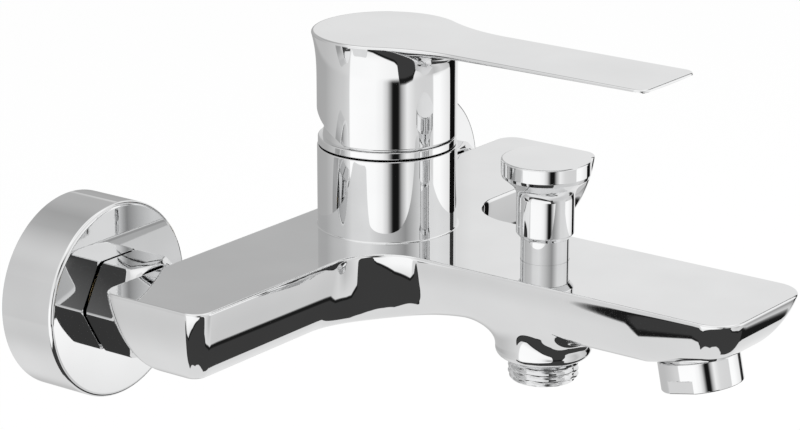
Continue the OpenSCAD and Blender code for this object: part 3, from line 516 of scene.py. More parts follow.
# %% A flat face with round holes
def inside_polygon(p, ring):
    """Even-odd rule: counts how many edges of the ring a ray along +x from each point crosses."""
    a, b = ring, np.roll(ring, -1, axis=0)
    x, y = p[:, 0][:, None], p[:, 1][:, None]
    crosses = (a[:, 1] > y) != (b[:, 1] > y)
    with np.errstate(divide="ignore", invalid="ignore"):
        at = a[:, 0] + (y - a[:, 1]) / (b[:, 1] - a[:, 1]) * (b[:, 0] - a[:, 0])
    return (crosses & (x < at)).sum(1) % 2 == 1


def flat_with_holes(outer, holes):
    """Triangles of a flat region between an outer ring and round holes, as indices into all the points."""
    loops = [outer] + holes
    points = np.concatenate(loops)[:, :2]
    edges, start = [], 0
    for loop in loops:
        k = np.arange(len(loop))
        edges.append(np.column_stack([start + k, start + (k + 1) % len(loop)]))
        start += len(loop)
    places = [Vector(p) for p in points.tolist()]
    out = delaunay_2d_cdt(places, np.concatenate(edges).tolist(), [], 0, 1e-7)
    original = np.array([o[0] for o in out[3]])
    tris = original[np.array(out[2])]
    centres = points[tris].mean(1)
    keep = inside_polygon(centres, outer[:, :2])
    for hole in holes:
        keep &= ~inside_polygon(centres, hole[:, :2])
    return tris[keep]


# %% Deck, tower and underside in one shell
TOWER_R, COUNTERBORE_R, THREAD_R, CHAMBER_R = 21.0, 18.6, 18.0, 17.6
COUNTERBORE_Z, THREAD_Z, CHAMBER_Z = TOWER_TOP - 4.0, TOWER_TOP - 10.5, TOWER_TOP - 31.5
FOOT_ROUND = 0.7                     # small hollow where the tower stands on the deck
BUSH_HOLE, BUSH_HOLE_Z = 7.15, DECK - 14.0
TOWER_SIDES, BUSH_SIDES, UNDER_ROWS = 192, 96, 14


def casting_shell():
    """Joins the rings, the deck with its holes, the tower, the bush's hole and the underside."""
    points, quads, start = [], [], 0

    def add(grid, wrap=True, turn=False):
        """Adds a grid with its quads, facing the other way if turn is set, and gives its points' numbers."""
        nonlocal start
        rows, cols = grid.shape[:2]
        faces = grid_quads(rows, cols, wrap, start)
        points.append(grid.reshape(-1, 3))
        quads.append(faces[:, ::-1] if turn else faces)
        start += rows * cols
        return np.arange(start - rows * cols, start).reshape(rows, cols)

    tower = round_grid(soft_path([
        (TOWER_R + FOOT_ROUND, DECK), (TOWER_R, DECK, FOOT_ROUND), (TOWER_R, TOWER_TOP, 0.35),
        (COUNTERBORE_R, TOWER_TOP, 0.2), (COUNTERBORE_R, COUNTERBORE_Z), (THREAD_R, COUNTERBORE_Z),
        (THREAD_R, THREAD_Z), (CHAMBER_R, THREAD_Z), (CHAMBER_R, CHAMBER_Z), (0, CHAMBER_Z)],
        closed=False, steps=5), (0, TOWER_Y, 0), sides=TOWER_SIDES)
    hole = round_grid([(BUSH_HOLE, DECK), (BUSH_HOLE, DECK - 0.15), (BUSH_HOLE, BUSH_HOLE_Z),
                       (0, BUSH_HOLE_Z)], (0, DIVERTER_Y, 0), sides=BUSH_SIDES)
    last = half_rings[-1, :SPOUT_END + 1]
    middle = last * [0, 1, 0]
    middle[:, 1] = np.maximum(middle[:, 1], last[COUNTS["tip"] + COUNTS["tip_arc"], 1])
    t = np.linspace(0, 1, UNDER_ROWS)[:, None, None]
    under = last * (1 - t) + middle * t
    under[..., 2] = underside(under[..., 1])

    sides, tower_rows, hole_rows = add(rings, turn=True), add(tower), add(hole)
    right, left = add(under, wrap=False, turn=True), add(under * [-1, 1, 1], wrap=False)
    deck = flat_with_holes(rings[0], [tower[0], hole[0]])
    tris = np.concatenate([sides[0], tower_rows[0], hole_rows[0]])[deck]
    round_arms = sides[-1, SPOUT_END:len(sides[0]) - SPOUT_END + 1]
    arms = np.concatenate([round_arms, left[1:, -1], right[-2:0:-1, -1]])
    return Shell(np.concatenate(points), np.concatenate(quads), tris, [arms[::-1]])


def bad_edges(shell):
    """Edges that two faces run along in one direction, and edges with no partner: a good shell has none."""
    loops = (shell.quads, shell.tris, *shell.ngons)
    pairs = np.concatenate([np.stack([f, np.roll(f, -1, axis=-1)], -1).reshape(-1, 2) for f in loops])
    count = len(shell.points)
    there, back = pairs @ [count, 1], pairs @ [1, count]
    return len(there) - len(np.unique(there)), int((~np.isin(there, back)).sum())


casting = casting_shell()
print("casting: edges run twice, and without a partner:", bad_edges(casting))

# %% [markdown]
# ## The boss of the hose outlet
# Below the spout a round boss carries the hose thread. On the casting it doesn't stand on the underside
# like a stub: it flows out of it. Each direction round the boss gets one cubic curve. It leaves the
# casting along the casting's own slope, and it meets the boss's wall straight down, so there is no
# crease at either end.

# %% Boss with a tangent flare
BOSS_R, BOSS_ROUND = 14.2, 3.9
FLARE_REACH = (17.4, 8.6)            # radius where the flare starts: across the spout, and more along it
FLARE_FOOT = (-13.0, -1.5)           # height where it meets the wall: across the spout, and more along it
ALONG_RATE, FLARE_PULL = 1.6, 0.62
HOSE_BORE, HOSE_BORE_TOP = 9.1, BOSS_LOW + 6.0


def spout_surface(x, y):
    """Level of the spout's lower skin at (x, y): solves inset_share for the depth, then drops to it."""
    share = np.clip((SPOUT_HALF - np.abs(x)) / SIDE_INSET, 0, 1)
    v = (1 - (1 - share) ** (1 / TUCK)) ** (1 / LEAN)
    return RIM_LEVEL + v * (underside(y) - RIM_LEVEL)


def cubic(t, start, after, before, end):
    """Cubic curve from start to end, drawn towards the two values between them."""
    u = 1 - t
    return u ** 3 * start + 3 * u ** 2 * t * after + 3 * u * t ** 2 * before + t ** 3 * end


def boss_shell(sides=240, steps=40):
    """Rows from inside the casting, down the flare and the wall, and up the bore of the hose outlet.

    On each spoke the flare is a cubic curve: it starts along the casting's slope and ends straight down.
    """
    x, y, _ = spokes(UP, sides).T
    along = np.abs(y) ** ALONG_RATE
    reach = FLARE_REACH[0] + FLARE_REACH[1] * along
    wall_z = FLARE_FOOT[0] + FLARE_FOOT[1] * along

    def level(r):
        """The casting's skin at radius r from the boss's axis, for each spoke."""
        return spout_surface(r * x, DIVERTER_Y + r * y)

    start_z = level(reach)
    slope = (level(reach + 0.05) - level(reach - 0.05)) / 0.1
    lead = (reach - BOSS_R) * FLARE_PULL
    drop = (start_z - slope * lead - wall_z) * FLARE_PULL
    t = np.linspace(0, 1, steps + 1)[:, None]
    flare = zip(cubic(t, reach, reach - lead, BOSS_R, BOSS_R),
                cubic(t, start_z + 0.02, start_z - slope * lead, wall_z + drop, wall_z))
    top = [(0.0, -2.0), (reach - 1.5, level(reach - 1.5) + 1.0), (reach - 0.1, start_z + 0.3)]
    foot = soft_path([(BOSS_R, -10.0), (BOSS_R, BOSS_LOW, BOSS_ROUND), (HOSE_BORE, BOSS_LOW, 0.15),
                      (HOSE_BORE, HOSE_BORE_TOP), (0, HOSE_BORE_TOP)], closed=False, steps=10)[1:]
    return turned([*top, *flare, *foot], (0, DIVERTER_Y, 0), sides=sides, closed=False)


# %% The aerator's spigot, and the whole body
AERATOR_DROP = 4.575                 # along the ring's axis, from the ramp's skin to the ring's middle
AERATOR_UP = np.array([0.0, math.sin(RAMP_ANGLE), math.cos(RAMP_ANGLE)])
AERATOR_Y = middle_mm("aerator_housing")[1] + AERATOR_DROP * AERATOR_UP[1]
AERATOR_AT = np.array([0.0, AERATOR_Y, float(underside(AERATOR_Y))])
SPIGOT_R, SPIGOT_BORE, SPIGOT_TOP, SPIGOT_LOW = 10.8, 8.0, 4.0, -3.8         # heights from AERATOR_AT
spigot_path = soft_path([(SPIGOT_BORE, SPIGOT_TOP), (SPIGOT_R, SPIGOT_TOP), (SPIGOT_R, SPIGOT_LOW, 0.3),
                         (SPIGOT_BORE, SPIGOT_LOW, 0.2)])
spigot = turned(spigot_path, AERATOR_AT, AERATOR_UP)
add_piece("faucet_body", [casting, boss_shell(), spigot], "fixed", "chrome", "body")

# %% [markdown]
# ## Rosettes
# A rosette is a round cup that hides the wall union, with a collar that slides on it. It is turned, so
# its whole section is one profile, carried round the inlet's axis.

# %% Rosettes
SIDES = (("left", -1), ("right", 1))
OUTWARDS = (0, -1, 0)
rosette_low, rosette_high = box_mm("right_rosette")
ROSETTE_R = (rosette_high[0] - rosette_low[0]) / 2 - 0.02
ROSETTE_H = -rosette_low[1]
UNION_R, SIDE_T, FACE_T = 12.05, 1.2, 1.5            # radius of the union's way, walls of side and face
COLLAR_Z, INNER_Z = ROSETTE_H - 5.0, ROSETTE_H - FACE_T
rosette_path = soft_path([
    (ROSETTE_R - SIDE_T, 0), (ROSETTE_R, 0, 0.2), (ROSETTE_R, ROSETTE_H, 1.2), (UNION_R, ROSETTE_H, 0.4),
    (UNION_R, COLLAR_Z, 0.2), (UNION_R + FACE_T, COLLAR_Z), (UNION_R + FACE_T, INNER_Z, 0.3),
    (ROSETTE_R - SIDE_T - 0.6, INNER_Z, 0.6), (ROSETTE_R - SIDE_T, INNER_Z - 0.6)], steps=8)
for side, sign in SIDES:
    rosette = turned(rosette_path, (sign * INLET_X, 0, 0), OUTWARDS, 220)
    add_piece(f"{side}_rosette_cup", [rosette], "fixed", "chrome", f"{side}_rosette")

# %% [markdown]
# ## Union nuts
# The nut behind the arm is a hexagon whose front corners are turned away to a cone. The grid of the nut
# runs round it, and for each direction it knows how far out the hexagon is and where the cone starts to
# cut it, so the curved edge between the flat and the cone is a row of the grid and stays crisp.

# %% Union nuts
NUT_FLATS, NUT_CORNER_ROUND = 27.0, 0.5
NUT_REAR, NUT_FRONT = -box_mm("right_union_nut")[1][1], -box_mm("right_union_nut")[0][1]
NUT_CORNER, NUT_FACE_R = NUT_FLATS / 2 / math.cos(math.pi / 6), NUT_FLATS / 2 - 0.3
CONE_LEN, LIP_R, LIP_T = 2.8, 9.3, 2.2


def hexagon(flats, sides, round_r, turn=0.0):
    """Distance to a hexagon's outline for each spoke: flats / 2 / cos b off a flat, an arc at the corners."""
    b = np.abs((angles(sides) - turn + np.pi / 6) % (np.pi / 3) - np.pi / 6)
    flat = flats / 2 / np.cos(b)
    centre = (flats / 2 - round_r) / math.cos(math.pi / 6)
    g = math.pi / 6 - b
    arc = centre * np.cos(g) + np.sqrt(np.maximum(round_r ** 2 - (centre * np.sin(g)) ** 2, 0))
    return np.where(centre * np.sin(g) < round_r * 0.5, np.minimum(flat, arc), flat)


def nut_shell(origin, sides=288):
    """Rows round a nut: rear face, flats, cone at the front, front face, then the bore back to the rear."""
    flat = hexagon(NUT_FLATS, sides, NUT_CORNER_ROUND, turn=np.pi / 2)
    cone_rate = (NUT_CORNER + 0.1 - NUT_FACE_R) / CONE_LEN
    front_cut = np.minimum(NUT_FRONT, NUT_FRONT - CONE_LEN + (NUT_CORNER + 0.1 - flat) / cone_rate)
    rear_cut = NUT_REAR + np.clip(flat - (NUT_CORNER - 0.5), 0, None)
    rear_r = np.minimum(flat, NUT_CORNER - 0.5)
    rows = [(UNION_R, NUT_REAR), (rear_r - 0.15, NUT_REAR), (rear_r, NUT_REAR + 0.05), (flat, rear_cut + 0.1)]
    for t in (0.02, 0.25, 0.5, 0.75, 0.98):
        rows.append((flat, rear_cut + 0.1 + (front_cut - rear_cut - 0.2) * t))
    rows.append((flat - 0.02, front_cut))
    for t in (0.05, 0.35, 0.65, 0.95):
        rows.append((flat + (NUT_FACE_R - flat) * t - 0.03, front_cut + (NUT_FRONT - front_cut) * t))
    rows += [(NUT_FACE_R - 0.15, NUT_FRONT), (NUT_FACE_R - 0.35, NUT_FRONT), (LIP_R + 0.3, NUT_FRONT),
             (LIP_R, NUT_FRONT - 0.3), (LIP_R, NUT_FRONT - LIP_T), (UNION_R, NUT_FRONT - LIP_T)]
    return turned(rows, origin, OUTWARDS, sides)


for side, sign in SIDES:
    nut = nut_shell((sign * INLET_X, 0, 0))
    add_piece(f"{side}_hex_nut", [nut], "fixed", "chrome", f"{side}_union_nut", crease=25)

# %% [markdown]
# ## Threads
# A pipe thread is a helix, so its radius depends on the height and on the angle together: one turn round
# shifts the wave by one pitch. G 1/2 has a pitch of 1.814 mm and a depth of 1.162 mm, with rounded crests
# and roots. At its free end a cone cuts the thread, and at its root it runs out into a groove.

# %% Threaded stubs
PITCH, THREAD_DEPTH, THREAD_MAJOR = 1.814, 1.162, 20.955 / 2


def thread_radius(a, h, length):
    """Radius of a helical thread at angle a and height h above its free end.

    The wave over one pitch is half triangle, half smooth step. A cone caps it at the free end, and at its
    full length it runs out into a groove.
    """
    wave = np.abs(2 * ((h / PITCH + a / (2 * np.pi)) % 1.0) - 1)
    wave = 0.5 * wave + 0.5 * smooth01(wave)
    depth = THREAD_DEPTH * smooth01((length - h) / 0.8)
    groove = (THREAD_DEPTH + 0.1) * smooth01((h - length + 0.9) / 0.7)
    return np.minimum(THREAD_MAJOR - 0.06 - depth * wave - groove, THREAD_MAJOR - 1.0 + h)


def threaded_stub(origin, direction, length, bore, root, sides=144, rows_per_turn=14):
    """Tube with a thread outside: rows down the bore, over the end face, along the thread, over the root."""
    h = np.linspace(0.0, length, int(length / PITCH * rows_per_turn) + 1)
    end = [(bore, root[-1][1]), (bore, 0.3), (bore + 0.3, 0.0), (THREAD_MAJOR - 1.2, 0.0)]
    thread = zip(thread_radius(angles(sides), h[:, None], length), h)
    return turned([*end, *thread, *root], origin, direction, sides)


# %% [markdown]
# ## Unions and inlet tails
# The pipes in the wall are never quite in place, so each union is cranked: its wall thread sits a few
# millimetres beside its outlet, and turning it moves the outlet over. It is brass, and the rosette hides
# it. The tail that the nut holds is a plain turned flange and tube.

# %% Cranked unions and inlet tails
WALL_THREAD_L, UNION_END = box_mm("right_eccentric_union")[1][1], -box_mm("right_eccentric_union")[0][1]
UNION_DROP, UNION_FLATS = 6.0, 31.177
WALL_BORE, OUTLET_BORE, COUPLING_R = 7.0, 8.5, 12.0
TAIL_R, TAIL_BORE, FLANGE_R, FLANGE_T = 9.0, 6.5, 11.6, 2.5


def union_hex(at, sides=288):
    """Hexagonal block of the union, whose bore moves over from the inlet's axis to the wall pipe's.

    Each row has a drop of its own, from 0 on the inlet's axis to 1 on the wall pipe's.
    """
    flat = hexagon(UNION_FLATS, sides, 0.5)
    outer = [(flat - 0.6, 2.0), (flat, 2.6), (flat, 4.5), (flat, 9.5), (flat, 11.4), (flat - 0.6, 12.0)]
    inner = [(OUTLET_BORE, 12.0), (OUTLET_BORE, 7.6), (WALL_BORE, 7.0), (WALL_BORE, 2.0)]
    drops = np.array([0.5] * len(outer) + [0.0, 0.0, 1.0, 1.0])[:, None, None]
    return turned(outer + inner, at - UNION_DROP * drops * UP, OUTWARDS, sides)


for side, sign in SIDES:
    at = np.array([sign * INLET_X, 0, 0])
    groove, collar = WALL_THREAD_L + 1.5, WALL_THREAD_L + 2.6
    stub = threaded_stub(at + [0, WALL_THREAD_L, -UNION_DROP], OUTWARDS, WALL_THREAD_L + 1.4, WALL_BORE,
                         [(9.2, groove), (9.2, collar), (WALL_BORE + 0.2, collar)])
    coupling_path = soft_path([(OUTLET_BORE, 11.6), (COUPLING_R, 11.6), (COUPLING_R, UNION_END, 0.8),
                               (OUTLET_BORE, UNION_END, 0.3)])
    coupling = turned(coupling_path, at, OUTWARDS)
    add_piece(f"{side}_cranked_union", [stub, union_hex(at), coupling], "fixed", "brass",
              f"{side}_eccentric_union")
    tail_low, tail_high = box_mm(f"{side}_inlet_nipple")
    rear, front = -tail_high[1], -tail_low[1]
    tail_path = soft_path([(TAIL_BORE, rear), (FLANGE_R, rear, 0.3), (FLANGE_R, rear + FLANGE_T, 0.3),
                           (TAIL_R, rear + FLANGE_T, 0.3), (TAIL_R, front, 0.5), (TAIL_BORE, front, 0.3)])
    tail = turned(tail_path, at, OUTWARDS)
    add_piece(f"{side}_inlet_tail", [tail], "fixed", "brass", f"{side}_inlet_nipple")

# %% [markdown]
# ## The dome under the handle
# When the lever lifts, its skirt swings over a polished dome whose centre is the pivot. The dome stands
# on a band that is a little narrower than the tower, so the tower keeps a small ledge of its own.

# %% Dome
PIVOT = TOWER_TOP + 1.0
DOME_R, DOME_T, MOUTH = 19.4, 1.0, 13.4
BAND_R, BAND_LOW, BAND_HIGH = 20.75, TOWER_TOP + 0.55, TOWER_TOP + 2.75      # clear of the skirt's edge
SEAT_R, SEAT_IN_R, SEAT_LOW = 18.45, 17.0, TOWER_TOP - 3.95           # what sits inside the tower


def ball_arc(r, start, end, count):
    """Arc about the pivot, from one angle above the level to another, as (radius, height) points."""
    t = np.radians(np.linspace(start, end, count))
    return np.stack([r * np.cos(t), PIVOT + r * np.sin(t)], -1)


band_path = soft_path([
    (SEAT_IN_R, SEAT_LOW), (SEAT_R, SEAT_LOW), (SEAT_R, BAND_LOW), (BAND_R, BAND_LOW, 0.15),
    (BAND_R, BAND_HIGH, 0.35), (19.32, BAND_HIGH)], closed=False)
outer_mouth, inner_mouth = (math.degrees(math.acos(MOUTH / r)) for r in (DOME_R, DOME_R - DOME_T))
dome_path = np.concatenate([
    band_path, ball_arc(DOME_R, 5.7, outer_mouth, 26), ball_arc(DOME_R - DOME_T, inner_mouth, 0, 24),
    [(SEAT_IN_R, PIVOT - 0.6)]])
add_piece("dome", [turned(dome_path, (0, TOWER_Y, 0), sides=200)], "fixed", "chrome", "dome_cover")

# %% [markdown]
# Between the tower's rim and the dome's band stays a slit of half a millimetre. A real one is black,
# because the light that gets in is lost between the two walls. Both walls here are mirrors that would
# bounce the studio's light out again, so shade is painted into the chrome's colour: it turns black
# inside that ring of space.

# %% Paint shade into the slit
# painted shade: the near-black colour that the chrome takes inside the slit
SLIT_SHADE_LEVEL = 0.015


def paint_slit_shade(material, radius, bottom, top):
    """Painted shade: share of near black in the chrome's colour = (x^2 + (y - tower)^2 < radius^2) * (z >
    bottom) * (z < top), all in mm.
    """
    tree = material.node_tree
    colour = tree.nodes["Principled BSDF"].inputs["Base Color"]
    plate = colour.links[0].from_socket
    place = add_node(tree, "TexCoord").outputs["Object"]
    x, y, z = add_node(tree, "SeparateXYZ", {0: place}).outputs
    off = calc(tree, "SUBTRACT", y, TOWER_Y / MM)
    far = calc(tree, "ADD", calc(tree, "POWER", x, 2.0), calc(tree, "POWER", off, 2.0))
    near = calc(tree, "LESS_THAN", far, (radius / MM) ** 2)
    over, under = calc(tree, "GREATER_THAN", z, bottom / MM), calc(tree, "LESS_THAN", z, top / MM)
    inside = calc(tree, "MULTIPLY", near, calc(tree, "MULTIPLY", over, under))
    # painted shade: the plate's colour goes near black inside the slit
    tree.links.new(mix_colours(tree, inside, plate, SLIT_SHADE_LEVEL), colour)


slit = dict(radius=DOME_R + 1.15, bottom=TOWER_TOP - 0.03, top=BAND_LOW + 0.03)
# paints shade into the chrome's colour in the slit under the dome
paint_slit_shade(FINISHES["chrome"], **slit)
print("slit under the dome:", {name: round(float(v), 2) for name, v in slit.items()})

# %% [markdown]
# ## The lever
# Skirt, head and blade are one casting. Seen from above, the head is a circle that runs into a narrow
# blade through two wide hollow arcs. All of it hangs from one outline: the top is level, its edge is
# rounded, and from every point of the edge one line of points runs inwards below, to the wall of the
# skirt. On these lines the depth is the larger of two shapes, the flare of the skirt and the belly of
# the blade, with the place where they meet smoothed over.

# %% Outline of the lever
HEAD_R, SKIRT_R, BLADE_W, FILLET, LEVER_TIP_R = 22.5, 21.0, 14.0, 50.0, 3.5
REACH = TOWER_Y - LEVER_TIP
FILLET_X = BLADE_W + FILLET
FILLET_S = math.sqrt((HEAD_R + FILLET) ** 2 - FILLET_X ** 2)
TOUCH = math.degrees(math.atan2(FILLET_S, FILLET_X))
LEVER_COUNTS = (10, 14, 70, 44, 90)


def lever_outline():
    """Right half of the lever from the tip's middle to the rear: (across, forwards), and outward normals."""
    r = LEVER_TIP_R
    a, b, c, d, e = LEVER_COUNTS
    points = np.concatenate([
        run((0, REACH), (BLADE_W - r, REACH), a),
        bend((BLADE_W - r, REACH - r), r, 90, 0, b),
        run((BLADE_W, REACH - r), (BLADE_W, FILLET_S), c),
        bend((FILLET_X, FILLET_S), FILLET, 180, 180 + TOUCH, d),
        bend((0, 0), HEAD_R, TOUCH, -90, e),
        [(0, -HEAD_R)],
    ])
    normals = np.concatenate([
        np.tile([0.0, 1.0], (a, 1)), bend((0, 0), 1, 90, 0, b), np.tile([1.0, 0.0], (c, 1)),
        -bend((0, 0), 1, 180, 180 + TOUCH, d), bend((0, 0), 1, TOUCH, -90, e), [(0, -1.0)],
    ])
    return points, normals


def half_width(s):
    """Half width of the outline at s in front of the axis, and the share of it that is square to the edge."""
    s_touch = HEAD_R * math.sin(math.radians(TOUCH))
    head = np.sqrt(np.maximum(HEAD_R ** 2 - s ** 2, 0))
    hollow = FILLET_X - np.sqrt(np.maximum(FILLET ** 2 - (FILLET_S - s) ** 2, 0))
    w = np.where(s < s_touch, head, np.where(s < FILLET_S, hollow, BLADE_W))
    square = np.where(s < s_touch, head / HEAD_R, np.where(s < FILLET_S, (FILLET_X - w) / FILLET, 1.0))
    return w, square


print(f"lever: {REACH:.1f} mm from axis to tip, hollow arcs leave the head at {TOUCH:.1f} degrees")

# %% Depths of the lever
EDGE = 0.7                           # round of the upper edge
ROOT = 4.0                           # round between the blade's belly and the skirt
FLARE_H, FLARE_W = 16.0, HEAD_R - SKIRT_R    # height and width of the flare from the skirt to the head


def smooth_max(a, b, k):
    """The larger of a and b, with a parabola of width k over the place where they cross."""
    k = np.maximum(k, 1e-6)
    h = np.maximum(k - np.abs(a - b), 0) / k
    return np.maximum(a, b) + h * h * k / 4


def lever_depth(x, s, from_edge):
    """Depth below the lever's top: the blade's belly or the skirt's flare, whichever is deeper.

    The belly is a parabola across the blade, and its depth grows from the tip to the skirt. The flare falls
    away from the head's edge with the cube root of the distance to the skirt.
    """
    t = np.clip(1 - s / REACH, 0, 1)
    w, _ = half_width(np.maximum(s, 12.0))
    across = np.clip(np.abs(x) / w, 0, 1)
    edge_t, deep = 0.9 + 0.7 * t, 1.4 + 1.6 * t + 7 * t ** 5
    belly = edge_t + (deep - edge_t) * (1 - across ** 2)
    belly = EDGE + (belly - EDGE) * (1 - np.exp(-from_edge / 0.5)) * smooth01((s - 9) / 11)
    out = np.maximum(np.hypot(x, s) - SKIRT_R, 0)
    near = np.clip(1 - out / ROOT, 0, 1)
    root = ROOT * smooth01(from_edge / 9.0) * (1 - np.sqrt(1 - near ** 2))
    flare = EDGE + FLARE_H * (1 - np.cbrt(out / FLARE_W))
    return np.minimum(smooth_max(belly + root, flare, 2.0 * smooth01(from_edge / 5.0)), EDGE + FLARE_H)


print(f"blade {lever_depth(0.0, REACH / 2, 9.0):.2f} mm thick halfway along its middle")

# %% The lever's surface
BACK_CUT = math.tan(math.radians(26))        # the skirt's edge rises to the back, so that the handle can lift
SKIRT_LOW = HANDLE_TOP - (TOWER_TOP + 3.4)   # depth of the skirt's edge in front
SKIRT_IN_R = 19.8
CEILING_DEPTH, CEILING_BEVEL = 4.0, 2.0      # the hollow's ceiling, below the lever's top
EDGE_ROWS, BELLY_ROWS, WALL_ROWS, INNER_ROWS = 8, 72, 15, 7
SKIRT_EDGE = ((SKIRT_R, 0.3), (SKIRT_R - 0.09, 0.09), (SKIRT_R - 0.3, 0.0), (SKIRT_R - 0.45, 0.0),
              (SKIRT_IN_R + 0.2, 0.0), (SKIRT_IN_R + 0.05, 0.05), (SKIRT_IN_R, 0.2))     # radius, height


def lever_shell():
    """Rows from the rounded upper edge over the belly to the skirt, down its wall, and up inside it."""
    half, normal = lever_outline()
    arms = sum(LEVER_COUNTS[:4])
    step = np.linalg.norm(np.diff(half[:arms + 1], axis=0), axis=1)
    u = np.concatenate([[0], np.cumsum(step)]) / step.sum()
    to_rear = np.linspace(TOUCH, -90, LEVER_COUNTS[4] + 1)[1:]
    angle = np.radians(np.concatenate([90 - (90 - TOUCH) * u, to_rear]))
    unit = np.stack([np.cos(angle), np.sin(angle)], -1)
    foot = SKIRT_R * unit
    rows = []

    def add(plan, depth):
        """Adds one row of points at a depth below the lever's top."""
        rows.append(np.column_stack([plan, -depth * np.ones(len(plan))]))

    def edge_depth(r):
        """Depth of the skirt's cut edge at radius r."""
        return SKIRT_LOW - np.maximum(0, -unit[:, 1] * r) * BACK_CUT

    add(half - (EDGE + HOLD) * normal, 0.0)
    for a in np.radians(np.linspace(90, 0, EDGE_ROWS)):
        add(half - EDGE * (1 - math.cos(a)) * normal, EDGE * (1 - math.sin(a)))
    for t in (1 - np.cos(np.pi * np.arange(1, BELLY_ROWS + 1) / BELLY_ROWS)) / 2:
        plan = half * (1 - t) + foot * t
        w, square = half_width(plan[:, 1])
        to_side = np.minimum((w - np.abs(plan[:, 0])) * square, REACH - plan[:, 1])
        from_edge = np.where(np.arange(len(half)) >= arms, HEAD_R - np.hypot(*plan.T), to_side)
        add(plan, lever_depth(*plan.T, np.maximum(from_edge, 0)))
    low, start = edge_depth(SKIRT_R), EDGE + FLARE_H
    for t in np.linspace(0, 1, WALL_ROWS + 1)[1:]:
        add(foot, start + (low - 0.42 - start) * t)
    for r, up in SKIRT_EDGE:
        add(unit * r, edge_depth(r) - up)
    for t in np.linspace(0, 1, INNER_ROWS + 1)[1:]:
        add(unit * SKIRT_IN_R, (low - 0.3) * (1 - t) + (CEILING_DEPTH + CEILING_BEVEL) * t)
    add(unit * (SKIRT_IN_R - CEILING_BEVEL), CEILING_DEPTH)
    add(unit * 0.0, CEILING_DEPTH)
    grid = mirrored(np.array(rows))
    points = np.stack([grid[..., 0], TOWER_Y - grid[..., 1], HANDLE_TOP + grid[..., 2]], -1)
    cols = points.shape[1]
    return Shell(points, grid_quads(len(rows), cols)[:, ::-1], ngons=[np.arange(cols)])


STEM_SOCKET_R, STEM_BORE, STEM_LOW, STEM_HIGH = 7.46, 5.8, 58.6, 69.5
socket_path = soft_path([(STEM_BORE, STEM_LOW), (STEM_SOCKET_R, STEM_LOW, 0.3), (STEM_SOCKET_R, STEM_HIGH),
                         (STEM_BORE, STEM_HIGH)])
socket = turned(socket_path, (0, TOWER_Y, 0), sides=96)
add_piece("lever_handle", [lever_shell(), socket], "lever", "chrome", "handle")

# %% [markdown]
# ## The index plug
# A small red plug in the back of the skirt covers the screw that holds the handle on its stem. It is
# turned like the rest, with a softly crowned face.

# %% Index plug in the back of the skirt
plug_low, plug_high = box_mm("index_plug")
plug_at = (0, plug_low[1], (plug_low[2] + plug_high[2]) / 2)
PLUG_R, PLUG_SIDE, PLUG_CROWN = 3.7, 3.25, 3.4
plug_path = soft_path([(0, 0), (PLUG_R, 0), (PLUG_R, PLUG_SIDE, 0.45), (0, PLUG_CROWN)], closed=False)
plug = turned(plug_path, plug_at, (0, 1, 0), sides=72, closed=False)
add_piece("red_index", [plug], "lever", "index_red", "index_plug")

# %% [markdown]
# ## Diverter
# The knob is turned from bar: a shank that slides on the bush, a hollow flare and a round cap. The bush
# stands in the deck, and its lower end is a cage for the diverter's spring.

# %% Knob and bush
knob_low, knob_high = box_mm("diverter_knob")
KNOB_LOW, KNOB_TOP, CAP_R = knob_low[2], knob_high[2], (knob_high[0] - knob_low[0]) / 2
SHANK_R, SHANK_BORE, BUSH_R, SPINDLE_R = 8.5, 7.18, 7.1, 3.03
knob_path = soft_path([
    (0, KNOB_TOP), (CAP_R, KNOB_TOP, 0.5), (CAP_R, KNOB_TOP - 4.2, 0.5), (CAP_R - 0.3, KNOB_TOP - 5.3, 0.3),
    (SHANK_R, KNOB_TOP - 8.91, 5.0), (SHANK_R, KNOB_LOW + 1.4, 0.6), (7.3, KNOB_LOW, 0.15),
    (SHANK_BORE, KNOB_LOW), (SHANK_BORE, BUSH_TOP + 1.5), (0, BUSH_TOP + 1.5)], closed=False, steps=9)
knob = turned(knob_path, (0, DIVERTER_Y, 0), sides=180, closed=False)
add_piece("pull_knob", [knob], "diverter", "chrome", "diverter_knob")

BUSH_FOOT = box_mm("diverter_bush")[0][2]
CAGE_R, CAGE_TOP = 5.9, DECK - 2.3           # the spring stands in the cage
bush_path = soft_path([(CAGE_R, BUSH_FOOT), (BUSH_R, BUSH_FOOT), (BUSH_R, BUSH_TOP, 0.3),
                       (SPINDLE_R, BUSH_TOP), (SPINDLE_R, CAGE_TOP), (CAGE_R, CAGE_TOP)])
bush = turned(bush_path, (0, DIVERTER_Y, 0), sides=144)
add_piece("knob_bush", [bush], "fixed", "chrome", "diverter_bush")

# %% [markdown]
# ## The hose nipple
# The shower's hose is screwed on a threaded outlet below the diverter. It is the same stub as the wall
# thread of the unions, this time upright and in chrome, with a thinner neck that goes up into the boss.

# %% Hose nipple
NIPPLE_LOW = box_mm("hose_nipple")[0][2]
NIPPLE_LEN, NIPPLE_BORE, NECK_R, NECK_BORE = BOSS_LOW - 0.05 - NIPPLE_LOW, 7.5, 9.0, 5.3
NECK_TOP = NIPPLE_LEN + 5.9
nipple_root = [(NECK_R, NIPPLE_LEN), (NECK_R, NECK_TOP), (NECK_BORE, NECK_TOP), (NECK_BORE, NIPPLE_LEN + 3),
               (NIPPLE_BORE, NIPPLE_LEN + 1.6)]
nipple = threaded_stub((0, DIVERTER_Y, NIPPLE_LOW), UP, NIPPLE_LEN, NIPPLE_BORE, nipple_root, sides=180)
add_piece("hose_thread", [nipple], "fixed", "chrome", "hose_nipple")

# %% [markdown]
# ## Aerator
# The aerator's ring leans forwards with the ramp of the tip. Two spanner flats cut its lower end: there
# the radius is the smaller of the ring's own and the distance to the flat.

# %% Aerator ring
RING_R, RING_LOW, LEDGE, SPANNER_FLATS = 11.9, -9.0, -5.1, 11.1
MOUTH_R, THREAD_BORE, MOUTH_TOP = 9.5, 10.85, RING_LOW + 1.2


